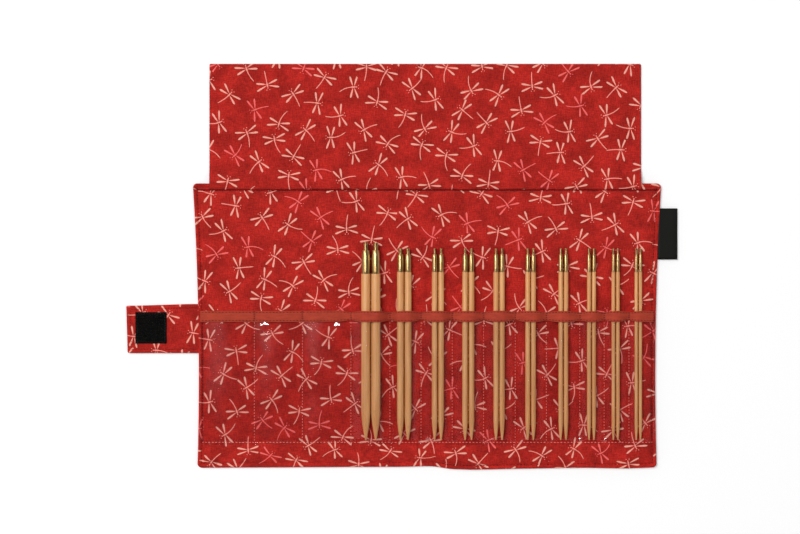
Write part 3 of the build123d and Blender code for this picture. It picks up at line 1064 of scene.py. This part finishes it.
# Pockets
TAPE_SECTION = (              # mm along Y from the tape's lower edge, and mm off the sheet
    (0.0, 0.02), (-0.05, 0.3), (0.15, 0.52), (0.6, 0.58), (1.0, 0.42), (1.4, 0.57), (2.6, 0.62),
    (4.0, 0.64), (5.2, 0.62), (5.9, 0.57), (6.3, 0.43), (6.7, 0.55), (7.05, 0.46), (7.2, 0.2),
    (7.15, -0.1), (6.9, -0.3), (6.3, -0.34), (3.3, -0.3), (0.4, -0.3),
)
TAPE_GROOVES = (4, 10)        # points of the section where the stitching is
TAPE_WIDTH = run_length(TAPE_SECTION)[-1] * MM
TAPE_STEP = 0.875 * MM        # of weave between two points of the section
SHEET_WIDTH = run_length(list(zip(SHEET_X, SHEET_Z)))[-1]


def tape_place(x, step):
    """Place on the tape: step counts along the points of its section."""
    counts = range(len(TAPE_SECTION))
    along, rise = (float(np.interp(step, counts, part)) * MM for part in zip(*TAPE_SECTION))
    y = TAPE_LOW + along
    waver = 0.25 * MM * wander(x, 0, 30 * MM, 41)
    drawn_in = max(bump_at(x, divider, 4 * MM) for divider in DIVIDERS[EMPTY_POCKETS:-1])
    waver -= 0.26 * drawn_in * (y - (TAPE_LOW + TAPE_HIGH) / 2)
    under = min(y, TAPE_HIGH - 0.7 * MM)
    return (x, y + waver, sheet_level(x, under) + rise)


class NEEDLECASE_OT_pocket_sheet(bpy.types.Operator):
    """Clear sheet that makes the pockets, taut over the tips"""

    bl_idname = "needlecase.pocket_sheet"
    bl_label = "Clear sheet"

    def execute(self, context):
        columns = spread(-SHEET_SIDE, SHEET_SIDE, SHEET_STEP)
        rows = spread(SHEET_HEM, SHEET_SEAM + 5 * MM, 0.5 * MM)
        rows += spread(rows[-1], TAPE_LOW - 6 * MM, 2.4 * MM)[1:]
        rows += spread(rows[-1], TAPE_HIGH - 0.6 * MM, 0.6 * MM)[1:]
        sheet = cloth_grid("pocket_sheet", columns, rows, lambda u, v: (u, v, sheet_level(u, v)))
        # share of the wrinkles, which the clear sheet's material turns into a painted glint
        crumple = sheet.data.attributes.new("crumple", "FLOAT", "POINT")
        for vertex, item in zip(sheet.data.vertices, crumple.data):
            item.value = wrinkles(vertex.co.x, vertex.co.y)[1]
        thicken(sheet, SHEET_THICK)
        material = clear_finish(context.scene.needle_cloth)
        finish_piece(sheet, material, "clear_vinyl", "vinyl_right", "vinyl_left")
        blend_over_fold(sheet)
        rows[-1] - rows[0]
        return {"FINISHED"}


class NEEDLECASE_OT_tape(bpy.types.Operator):
    """Binding tape folded over the open edge of the clear sheet"""

    bl_idname = "needlecase.tape"
    bl_label = "Binding tape"

    def execute(self, context):
        columns = spread(-SHEET_SIDE, SHEET_SIDE, SHEET_STEP)
        rows = list(range(len(TAPE_SECTION)))
        tape = cloth_grid("pocket_tape", columns, rows, tape_place)
        layer = tape.data.uv_layers[0]
        for loop in tape.data.loops:
            layer.data[loop.index].uv[1] *= TAPE_STEP
        thicken(tape, TAPE_THICK)
        material = tape_finish(context.scene.needle_cloth)
        finish_piece(tape, material, "binding_tape", "tape_right", "tape_left")
        blend_over_fold(tape)
        return {"FINISHED"}


# Flap: one piece on each half, meeting in the crease over the fold
FLAP_FOLDS = (                # place across, height and half width, in millimetres
    (-130, -0.25, 5), (-80, 0.2, 12), (-14, -0.3, 4), (4, -0.45, 3), (52, 0.2, 10), (136, -0.2, 4),
)
FLAP_TUCK = FLAP_SEAM - 1 * MM
FLAP_CREST = TOP_EDGE + 1.8 * MM
FLAP_RIM = 0.6 * MM


def flap_edge(x, y, outer):
    """How far in from the flap's free borders a place is; outer is its side border."""
    return min(abs(outer) - abs(x), FLAP_EDGE - y)


def flap_level(x, y, outer):
    """Upper side of the flap, which rises over the upper border and lies down behind it."""
    over_border = HEM_LEVEL + FLAP_THICK + 0.2 * MM
    if y < FLAP_CREST:
        tuck = HEM_LEVEL - 0.6 * MM
        share = max(0.0, (y - FLAP_TUCK) / (FLAP_CREST - FLAP_TUCK))
        level = tuck + (over_border - tuck) * math.sin(math.pi / 2 * share) ** 0.5
    else:
        share = smooth((y - FLAP_CREST) / (DRAPE_END + 3 * MM - FLAP_CREST))
        level = over_border + (FLAP_THICK - over_border) * share
    edge = flap_edge(x, y, outer)
    relief = fold_relief(x, FLAP_FOLDS) + 0.22 * MM * (1 + wander(x, y, 24 * MM, 51))
    relief = max(relief, -0.3 * MM) * smooth(edge / (3 * MM))
    relief *= 0.35 + 0.65 * smooth((y - TOP_EDGE) / (12 * MM))
    return level + FLAP_THICK / 2 * (rounded(edge, FLAP_RIM) - 1) + relief


def flap_under(x, y, outer):
    """Lower side of the flap, just under its upper side."""
    turn = rounded(flap_edge(x, y, outer), FLAP_RIM)
    top = flap_level(x, y, outer)
    depth = 0.1 * MM if y <= FLAP_TUCK else FLAP_THICK * 0.92 * turn
    return max(0.02 * MM, top - depth) if turn > 0 else top


def flap_layer(outer, level):
    """Function that sets out one layer of the flap's cloth."""
    def place(u, v):
        return (*rounded_corner(u, v, abs(outer), FLAP_EDGE, 1 * MM), level(u, v, outer))

    return place


class NEEDLECASE_OT_flap(bpy.types.Operator):
    """Flap at the upper border, that folds down over the tips"""

    bl_idname = "needlecase.flap"
    bl_label = "Flap"

    def execute(self, context):
        rows = [FLAP_TUCK, FLAP_TUCK + 0.5 * MM]
        rows += bordered(FLAP_TUCK + 1 * MM, FLAP_EDGE, FLAP_STEP, False, True)
        for side, on_right in (("right", True), ("left", False)):
            node = f"flap_{side}"
            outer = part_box(node)[on_right][0]
            columns = bordered(*sorted((FOLD_X, outer)), LINING_STEP, not on_right, on_right)
            layers = [flap_layer(outer, level) for level in (flap_level, flap_under)]
            flap = envelope(f"{node}_cloth", columns, rows, *layers, (0.45, 0.61))
            close_ends(flap)
            finish_cotton(flap, context, node, f"flap_seam_{side}", angle=70)
            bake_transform(flap)
        return {"FINISHED"}


# Closure tab
TAB_LOW, TAB_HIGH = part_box("tab_end")[0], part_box("tab_neck")[1]
TAB_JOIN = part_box("tab_neck")[0][0] + 3 * MM
TAB_ROOT = -HALF_WIDTH + 1.2 * MM
TAB_MIDDLE = (TAB_LOW[1] + TAB_HIGH[1]) / 2
TAB_STITCH = 2.6 * MM         # from the tab's border to its stitching
TAB_ENDS = {"tab_neck": (TAB_JOIN, TAB_ROOT), "tab_end": (TAB_LOW[0], TAB_JOIN)}


def bend_tab(name, piece):
    """Put a piece's place and turn into its mesh."""
    name == "tab_neck"
    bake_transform(piece)


def tab_level(x, y, upper):
    """Upper or lower side of the tab."""
    middle = TAB_HIGH[2] / 2
    edge = min(y - TAB_LOW[1], TAB_HIGH[1] - y, x - TAB_LOW[0])
    half = middle * (0.35 + 0.65 * smooth((TAB_ROOT - x) / (4 * MM))) * rounded(edge, 0.9 * MM)
    if not upper:
        return max(0.02 * MM, middle - half)
    relief = 0.2 * MM * wander(x, y, 12 * MM, 61) + 0.2 * MM * pucker(x, edge, 8)
    relief -= 0.3 * MM * bump_at(edge, TAB_STITCH, 0.6 * MM)
    relief *= smooth(edge / (2 * MM)) * (1 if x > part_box("hook_patch")[1][0] + 1 * MM else 0.3)
    return middle + half + min(relief, 0.05 * MM)


def tab_set_out(x, y):
    """The tab narrows a little towards its end, and its end leans."""
    out = smooth((TAB_ROOT - x) / (TAB_ROOT - TAB_LOW[0]))
    up = (y - TAB_LOW[1]) / (TAB_HIGH[1] - TAB_LOW[1])
    return x + 0.9 * MM * out * (1 - up), y - 1.1 * MM * out * up


def tab_layer(upper):
    """Function that sets out one layer of the tab's cloth."""
    def place(u, v):
        high = TAB_HIGH[1] - TAB_MIDDLE
        across, along = rounded_corner(u, v - TAB_MIDDLE, -TAB_LOW[0], high, 0.9 * MM)
        return (*tab_set_out(across, along + TAB_MIDDLE), tab_level(u, v, upper))

    return place


class NEEDLECASE_OT_tab(bpy.types.Operator):
    """Closure tab on the left border, in two pieces"""

    bl_idname = "needlecase.tab"
    bl_label = "Closure tab"

    def execute(self, context):
        rows = bordered(TAB_LOW[1], TAB_HIGH[1], TAB_STEP)
        layers = (tab_layer(True), tab_layer(False))
        for name, ends in TAB_ENDS.items():
            columns = bordered(*ends, TAB_STEP, name == "tab_end", False)
            cloth = envelope(f"{name}_cloth", columns, rows, *layers, (0.9, 0.9))
            close_ends(cloth)
            finish_cotton(cloth, context, name, angle=70)
            bend_tab(name, cloth)
        return {"FINISHED"}


# Patches and label
def patch_base(name, low, high, bottom, top):
    """A woven base with thinner, smooth borders."""
    columns, rows = spread(low[0], high[0], 0.7 * MM), spread(low[1], high[1], 0.7 * MM)
    middle = (bottom + top) / 2

    def layer(level):
        def place(u, v):
            edge = min(u - low[0], high[0] - u, v - low[1], high[1] - v)
            return (u, v, middle + (level - middle) * smooth(edge / (0.7 * MM)) ** 0.5)

        return place

    return envelope(name, columns, rows, layer(top), layer(bottom))


class NEEDLECASE_OT_patches(bpy.types.Operator):
    """Hook patch on the tab and loop patch on the back"""

    bl_idname = "needlecase.patches"
    bl_label = "Hook and loop patches"

    def execute(self, context):
        black = context.scene.needle_cloth.hook
        self.hooks(nylon_finish("nylon_hooks", black, 0.5 * MM))
        self.loops(nylon_finish("nylon_loops", black, 0.35 * MM))
        return {"FINISHED"}

    def hooks(self, material):
        low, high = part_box("hook_patch")
        top = low[2] + 0.55 * MM
        base = patch_base("hook_patch_tape", low, high, low[2] - 0.1 * MM, top)
        start_object()
        bpy.ops.mesh.primitive_torus_add(
            major_segments=8,
            minor_segments=4,
            major_radius=0.34 * MM,
            minor_radius=0.09 * MM,
            location=(low[0] + 2.2 * MM, low[1] + 0.9 * MM, top),
            rotation=(math.pi / 2, 0, 0.35),
        )
        hook = bpy.context.object
        apply_place(hook)
        pitch = 1.05 * MM
        for axis, margin, step in ((0, 4.4 * MM, (pitch, 0, 0)), (1, 1.8 * MM, (0, pitch, 0))):
            room = high[axis] - low[axis] - margin
            repeat(hook, step, count=int(room / pitch) + 1)
        patch = join("hook_patch_tape", [base, hook])
        finish_piece(patch, material, "hook_tape", "hook_patch", angle=50)
        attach(patch, "tab_end")

    def loops(self, material):
        patch = patch_base("loop_patch_tape", LOOP_LOW, LOOP_HIGH, 0.05 * MM, 0.8 * MM)
        for place in [vertex.co for vertex in patch.data.vertices]:
            if place.z < 0.4 * MM:
                place.z += 0.12 * MM * (1 + wander(place.x, place.y, 1.4 * MM, 71))
        finish_piece(patch, material, "loop_tape", "loop_patch", angle=60)
        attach(patch, "right_half")


class NEEDLECASE_OT_label(bpy.types.Operator):
    """Bare folded label caught in the right border"""

    bl_idname = "needlecase.label"
    bl_label = "Label"

    def execute(self, context):
        low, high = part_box("woven_label")
        border = side_border((low[1] + high[1]) / 2)
        fold = high[0] - 0.6 * MM
        straight = [border + (fold - border) * n / 6 for n in range(2, 6)]
        section = [(border - 1.2 * MM, 1.25 * MM), (border + 1 * MM, 1.22 * MM)]
        section += [(x, 1.2 * MM) for x in straight]
        for turn in spread(math.pi / 2, -math.pi / 2, math.pi / 6):
            x, z = fold + 0.58 * MM * math.cos(turn), 0.6 * MM + 0.55 * MM * math.sin(turn)
            section.append((x, z))
        section += [(x, 0.08 * MM) for x in reversed(straight)]
        section += [(border + 1 * MM, 0.5 * MM), (border - 1.2 * MM, 0.8 * MM)]
        run = run_length(section)

        def place(u, v):
            x, z = (float(np.interp(u, run, part)) for part in zip(*section))
            lift = 0.25 * MM * smooth((x - border) / (8 * MM)) * wander(v, 0, 14 * MM, 81)
            return (x, v, max(0.05 * MM, z + lift))

        label = cloth_grid("label_cloth", run, spread(low[1], high[1], 1.5 * MM), place, (0.2, 0))
        thicken(label, 0.16 * MM)
        finish_piece(label, satin_finish(context.scene.needle_cloth), "black_satin", "woven_label")
        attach(label, "right_half")
        return {"FINISHED"}


# Needle tips
def turned(name, middle, height, sections, sides):
    """A round piece along Y, extruded through (y, radius) sections, with closed ends."""
    start_object()
    bpy.ops.mesh.primitive_circle_add(
        vertices=sides,
        radius=sections[0][1],
        fill_type="TRIFAN",
        location=(middle, sections[0][0], height),
        rotation=(math.pi / 2, 0, 0),
    )
    piece = bpy.context.object
    piece.name = name
    apply_place(piece)

    def draw_out():
        for (y, radius), (next_y, next_radius) in zip(sections, sections[1:]):
            step, grown, centre = (0, next_y - y, 0), next_radius / radius, (middle, next_y, height)
            bpy.ops.mesh.extrude_region_move(TRANSFORM_OT_translate={"value": step})
            bpy.ops.transform.resize(value=(grown, 1, grown), center_override=centre)
        bpy.ops.mesh.select_all(action="SELECT")
        bpy.ops.mesh.normals_make_consistent(inside=False)

    edit(piece, draw_out)
    return piece


def screw_thread(middle, height, start, stop, radius, pitch):
    """A helical thread on a stud, round the stud's core that the sleeve's sections make."""
    root = radius - 0.3 * pitch
    turns = max(2, int((stop - start) / pitch) - 1)
    first = start + (stop - start - turns * pitch) / 2
    start_object()
    bpy.ops.mesh.primitive_plane_add(size=pitch, location=(0, 0, 0))
    profile = bpy.context.object

    def cut_profile():
        bpy.ops.mesh.merge(type="CENTER")
        bpy.ops.transform.translate(value=(root, 0, 0))
        for out, up in ((radius - root, 0.22), (0, 0.44), (root - radius, 0.22), (0, 0.12)):
            bpy.ops.mesh.extrude_region_move(TRANSFORM_OT_translate={"value": (out, pitch * up, 0)})

    def place():
        merge_doubles()
        bpy.ops.transform.translate(value=(middle, first, height))

    edit(profile, cut_profile)
    apply_modifier(
        profile,
        "SCREW",
        axis="Y",
        angle=2 * math.pi,
        screw_offset=pitch,
        iterations=turns,
        steps=16,
        render_steps=16,
        use_merge_vertices=True,
        merge_threshold=0.002 * MM,
        use_normal_calculate=True,
    )
    edit(profile, place)
    return profile


def shaft_sections(point, end, radius):
    """Sections of a shaft from its blunt point, along its taper, to inside its sleeve."""
    taper = (2.1 * 2 * radius / MM + 6.5) * MM
    blunt = 0.5 * MM
    sections = []
    for angle in (0.05, 0.4, 0.8, 1.2, 1.5):
        sections.append((point + blunt * (1 - math.cos(angle)), blunt * math.sin(angle)))
    for share in [step / 14 for step in range(1, 15)]:
        grown = 1 - (1 - share) ** 1.7
        sections.append((point + blunt + (taper - blunt) * share, blunt + (radius - blunt) * grown))
    near_end = ((-0.35, 1), (-0.05, 0.985), (0, 0.95), (0.1, 0.8))
    return sections + [(end + before * MM, radius * share) for before, share in near_end]


def sleeve_sections(start, shoulder, end, radius, stud, pitch):
    """Sections of a sleeve with its cone, neck and the core of its stud."""
    cone = shoulder - (3.7 * MM if radius < 2.5 * MM else 5.7 * MM)
    rim = max(stud + 0.1 * MM, radius * 0.85)
    groove = radius - 0.12 * MM
    root = stud - 0.25 * pitch
    sleeve = (
        (-0.02, radius * 0.9), (0, radius * 0.975), (0.12, radius), (1.3, radius),
        (1.4, groove), (1.7, groove), (1.8, radius),
    )
    return [(start + along * MM, out) for along, out in sleeve] + [
        (cone - 0.3 * MM, radius), (cone, radius * 0.99),
        (cone + (shoulder - cone) * 0.5, radius + (rim - radius) * 0.42),
        (shoulder - 0.15 * MM, rim), (shoulder, rim - 0.12 * MM),
        (shoulder + 0.02 * MM, root * 0.96), (shoulder + 0.4 * MM, root * 0.96),
        (end - 0.45 * MM, root), (end - 0.28 * MM, stud), (end - 0.12 * MM, stud * 0.9),
        (end, stud * 0.72),
    ]


class NEEDLECASE_OT_tips(bpy.types.Operator):
    """Ten pairs of bamboo tips with brass sleeves and threaded studs"""

    bl_idname = "needlecase.tips"
    bl_label = "Needle tips"

    def execute(self, context):
        settings = context.scene.needle_tips
        sides, pitch = settings.sides, settings.thread_pitch
        bamboo, brass = bamboo_finish(settings), brass_finish(settings)
        studs = {mount["name"]: mount["dims"] for mount in frame["record"]["mounts"]}
        for number, side in itertools.product(range(1, 11), ("left", "right")):
            name = f"{number:02d}_{side}"
            middle, height, radius = tip_line(number, side)
            low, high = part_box(f"ferrule_{name}")
            sections = shaft_sections(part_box(f"shaft_{name}")[0][1], low[1], radius)
            shaft = turned(f"bamboo_{name}", middle, height, sections, sides)
            finish_piece(shaft, bamboo, "bamboo", f"shaft_{name}", angle=45)
            stud = studs[f"stud_{name}"]
            shoulder, stud_radius = high[1] - (stud["length_mm"] + 0.25) * MM, stud["r_mm"] * MM
            radius = (high[2] - low[2]) / 2
            sections = sleeve_sections(low[1], shoulder, high[1], radius, stud_radius, pitch)
            sleeve = turned(f"brass_{name}", middle, height, sections, sides)
            ends = (shoulder + 0.4 * MM, high[1] - 0.1 * MM)
            thread = screw_thread(middle, height, *ends, stud_radius, pitch)
            sleeve = join(f"brass_{name}", [sleeve, thread])
            finish_piece(sleeve, brass, "brass", f"ferrule_{name}", angle=35)
            for piece in (shaft, sleeve):
                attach(piece, f"tip_{name}")
        return {"FINISHED"}


# Stitching
def border_path(inset, step):
    """Places on the panel along its border stitching, from the flap's left end to its right."""
    heights = spread(TOP_EDGE - inset, -TOP_EDGE + inset, step)
    side = [(-side_border(y) + inset, y) for y in heights]
    base = [(x, -TOP_EDGE + inset) for x in spread(side[-1][0], -side[-1][0], step)]
    return side + base[1:-1] + [(-x, y) for x, y in reversed(side)]


def square_path(low, high, inset, height, step):
    """A closed square of stitching on a patch."""
    (left, right), (near, far) = ((low[axis] + inset, high[axis] - inset) for axis in (0, 1))
    path = [(x, near, height) for x in spread(left, right, step)]
    path += [(right, y, height) for y in spread(near, far, step)[1:]]
    path += [(x, far, height) for x in spread(right, left, step)[1:]]
    return path + [(left, y, height) for y in spread(far, near, step)[1:]]


def tab_paths():
    """Places of the stitching on each part of the tab."""
    left, right = TAB_LOW[0] + TAB_STITCH, TAB_ROOT - 2 * MM
    low, high = TAB_LOW[1] + TAB_STITCH, TAB_HIGH[1] - TAB_STITCH
    neck = [[(x, y) for x in spread(TAB_JOIN, right, 1.5 * MM)] for y in (low, high)]
    end = [(x, low) for x in spread(TAB_JOIN, left, 1.5 * MM)]
    end += [(left, y) for y in spread(low, high, 1.5 * MM)[1:]]
    end += [(x, high) for x in spread(left, TAB_JOIN, 1.5 * MM)[1:]]
    return {"tab_neck": neck, "tab_end": [end]}


def on_tape(steps, lift):
    """Points just off the tape, at these places across and steps of its section."""
    return [(x, y, level + lift) for x, y, level in (tape_place(*step) for step in steps)]


def flat_back(x, y):
    """Outer side of the cover without its rounded border."""
    return cover_level(x, y, 20 * MM)


class NEEDLECASE_OT_stitching(bpy.types.Operator):
    """Rows of stitches on the case, its pockets, tape, tab and patches"""

    bl_idname = "needlecase.stitching"
    bl_label = "Stitching"

    def execute(self, context):
        stitch = context.scene.needle_stitches
        kinds = ("edge", "pocket", "bar", "crease")
        threads = {kind: thread_finish(f"{kind}_thread", getattr(stitch, kind)) for kind in kinds}
        threads["black"] = thread_finish("black_thread", (0.02, 0.02, 0.02))
        thread = stitch.thread

        def row(points, share=1.0):
            return stitch_row(points, stitch.pitch * share, stitch.length * share, thread)

        def piece(name, rows, kind, slot="printed_cotton"):
            return finish_piece(join(name, rows), threads[kind], slot)

        path = border_path(EDGE_STITCH, 2 * MM)
        inner = on_panel(path, lining_level, 0.06 * MM)
        # the lining's border row is thicker, its dark thread partly painted shade in the border's
        # groove
        border = [stitch_row(inner, stitch.pitch, stitch.length, 0.3 * MM)]
        border.append(row(on_panel(path, cover_level, -0.04 * MM)))
        down = spread(TAPE_LOW - 0.3 * MM, SHEET_SEAM, 3 * MM)
        for side in (-SIDE_STITCH, SIDE_STITCH):
            border.append(row(on_panel([(side, y) for y in down], sheet_level, 0.06 * MM), 0.85))
        blend_over_fold(piece("border_stitches", border, "edge"))

        end = side_border(CREASE) - EDGE_STITCH
        seam = on_panel([(x, CREASE) for x in spread(-end, end, 2 * MM)], lining_level, 0.1 * MM)
        # overlapping thick stitches make a continuous dark cord: partly the flap's seam thread,
        # partly painted shadow in the crease
        rows = [stitch_row(seam, 1.7 * MM, 2.6 * MM, 0.45 * MM)]
        blend_over_fold(piece("crease_stitches", rows, "crease"))

        rows = []
        for divider in DIVIDERS[1:-1]:
            line = [(divider, y) for y in down]
            front = on_panel(line, sheet_level, 0.04 * MM)
            rows.append(stitch_row(front, 1.95 * MM, 0.8 * MM, thread))
            rows.append(row(on_panel(line, flat_back, -0.04 * MM), 0.85))
        seam = [(x, SHEET_SEAM) for x in spread(-SIDE_STITCH, SIDE_STITCH, 2 * MM)]
        rows.append(row(on_panel(seam, sheet_level, 0.05 * MM)))
        rows.append(row(on_panel(seam, flat_back, -0.04 * MM)))
        blend_over_fold(piece("pocket_stitches", rows, "pocket"))

        across = spread(-SHEET_SIDE + 1 * MM, SHEET_SIDE - 1 * MM, SHEET_STEP)
        rows = [row(on_tape([(x, groove) for x in across], 0.08 * MM)) for groove in TAPE_GROOVES]
        blend_over_fold(piece("tape_stitches", rows, "edge", "binding_tape"))

        rows = []
        for divider in DIVIDERS[1:-1]:
            for aside, first in ((-0.25 * MM, 4.16), (0.3 * MM, 3.52)):
                steps = [(divider + aside, step) for step in spread(12, first, 0.8)]
                rows.append(stitch_row(on_tape(steps, 0.16 * MM), 1.45 * MM, 0.95 * MM, 0.2 * MM))
        blend_over_fold(piece("tape_bars", rows, "bar", "binding_tape"))

        for name, paths in tab_paths().items():
            rows = []
            for upper, lift in ((True, 0.05 * MM), (False, -0.03 * MM)):
                for path in paths:
                    line = [(*tab_set_out(x, y), tab_level(x, y, upper) + lift) for x, y in path]
                    rows.append(row(line, 0.9))
            bend_tab(name, piece(f"{name}_stitches", rows, "edge"))

        low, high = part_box("hook_patch")
        for kind, corners, height, body in (
            ("hook", (low, high), low[2] + 0.5 * MM, "tab_end"),
            ("loop", (LOOP_LOW, LOOP_HIGH), 0.12 * MM, "right_half"),
        ):
            line = square_path(*corners, 1.1 * MM, height, 2 * MM)
            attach(piece(f"{kind}_stitches", [row(line, 0.8)], "black", f"{kind}_tape"), body)
        return {"FINISHED"}


# Table, lamps and camera
class NEEDLECASE_OT_stage(bpy.types.Operator):
    """Pale table, soft lamps and a camera straight above"""

    bl_idname = "needlecase.stage"
    bl_label = "Stage"

    def execute(self, context):
        stage = context.scene.needle_stage
        context.scene.view_settings.view_transform = "Standard"
        self.lay_table()
        self.light(stage)
        self.surround(stage)
        self.set_camera(context, stage)
        return {"FINISHED"}

    def set_camera(self, context, stage):
        """A camera straight above, so high that it sees the view width."""
        camera = bpy.data.cameras.new("camera")
        camera.lens, camera.sensor_width = stage.lens, 36
        camera.clip_start, camera.clip_end = 0.05, 10
        distance = stage.view_width * camera.lens / camera.sensor_width
        seen_from = bpy.data.objects.new("camera", camera)
        seen_from.location = (stage.view_x, stage.view_y, distance)
        context.collection.objects.link(seen_from)
        context.scene.camera = seen_from

    def lay_table(self):
        start_object()
        bpy.ops.mesh.primitive_plane_add(size=6, location=(0, 0, -0.25 * MM))
        table = bpy.context.object
        table.name = "table"
        finish = Finish("table")
        ray = finish.node("ShaderNodeLightPath", {}, "Is Camera Ray")
        others = (ray.other("Is Glossy Ray"), ray.other("Is Transmission Ray"))
        seen = finish.extreme("MAXIMUM", ray, *others)
        place = finish.object_place()
        away = finish.node("ShaderNodeVectorMath", {0: place}, "Value", operation="LENGTH")
        glow = finish.range(away, 0.26, 1.2, 0.1, 1.0)
        finish.set(
            base_color=finish.blend(seen, (0.62, 0.62, 0.62), (0.86, 0.86, 0.86)),
            roughness=1.0,
            specular_ior_level=0.0,
            emission_color=(1, 1, 1),
            emission_strength=seen * glow,
        )
        table.data.materials.append(finish.material)

    def light(self, stage):
        for name, place, sides, watts in (
            ("key_lamp", (-1.5, 1.0, 3.1), (0.9, 3.0), stage.key),
            ("fill_lamp", (1.9, -1.0, 2.4), (2.4, 3.2), stage.fill),
        ):
            lamp = bpy.data.lights.new(name, "AREA")
            lamp.shape = "RECTANGLE"
            lamp.size, lamp.size_y = sides
            lamp.energy = watts
            hung = bpy.data.objects.new(name, lamp)
            hung.location = place
            hung.rotation_euler = Vector(place).to_track_quat("Z", "Y").to_euler()
            hung.visible_camera = False
            hung.visible_glossy = name == "key_lamp"
            bpy.context.collection.objects.link(hung)

    def surround(self, stage):
        """A surround that is white at table height and darkens overhead."""
        world = bpy.data.worlds.new("surround")
        bpy.context.scene.world = world
        world.use_nodes = True
        nodes, links = world.node_tree.nodes, world.node_tree.links
        place = nodes.new("ShaderNodeTexCoord")
        split = nodes.new("ShaderNodeSeparateXYZ")
        links.new(place.outputs["Generated"], split.inputs[0])
        ramp = nodes.new("ShaderNodeValToRGB")
        low, high = ramp.color_ramp.elements
        low.position, low.color = 0.15, (1, 1, 1, 1)
        high.position, high.color = 0.6, (0.04, 0.04, 0.04, 1)
        links.new(split.outputs[2], ramp.inputs[0])
        links.new(ramp.outputs[0], nodes["Background"].inputs[0])
        nodes["Background"].inputs[1].default_value = stage.sky


class NEEDLECASE_PT_case(bpy.types.Panel):
    """Pieces of the case and their settings"""

    bl_label = "Needle Case"
    bl_idname = "NEEDLECASE_PT_case"
    bl_space_type = "VIEW_3D"
    bl_region_type = "UI"
    bl_category = "Needle Case"

    def draw(self, context):
        column = self.layout.column()
        for item in OPERATORS:
            column.operator(item.bl_idname)
        for group in GROUPS:
            settings = getattr(context.scene, group)
            box = column.box()
            for name in settings.__annotations__:
                box.prop(settings, name)


OPERATORS = (                 # in the order that they run
    NEEDLECASE_OT_stage,
    NEEDLECASE_OT_cover,
    NEEDLECASE_OT_padding,
    NEEDLECASE_OT_lining,
    NEEDLECASE_OT_pocket_sheet,
    NEEDLECASE_OT_tape,
    NEEDLECASE_OT_flap,
    NEEDLECASE_OT_tab,
    NEEDLECASE_OT_patches,
    NEEDLECASE_OT_label,
    NEEDLECASE_OT_tips,
    NEEDLECASE_OT_stitching,
)
GROUPS = {
    "needle_cloth": ClothSettings,
    "needle_stitches": StitchSettings,
    "needle_tips": TipSettings,
    "needle_stage": StageSettings,
}
CLASSES = (*GROUPS.values(), *OPERATORS, NEEDLECASE_PT_case)


def register():
    for item in CLASSES:
        bpy.utils.register_class(item)
    for name, group in GROUPS.items():
        setattr(bpy.types.Scene, name, PointerProperty(type=group))


def unregister():
    for name in GROUPS:
        delattr(bpy.types.Scene, name)
    for item in reversed(CLASSES):
        bpy.utils.unregister_class(item)


def main():
    register()
    for item in OPERATORS:
        group, name = item.bl_idname.split(".")
        getattr(getattr(bpy.ops, group), name)()


if __name__ == "__main__":
    main()
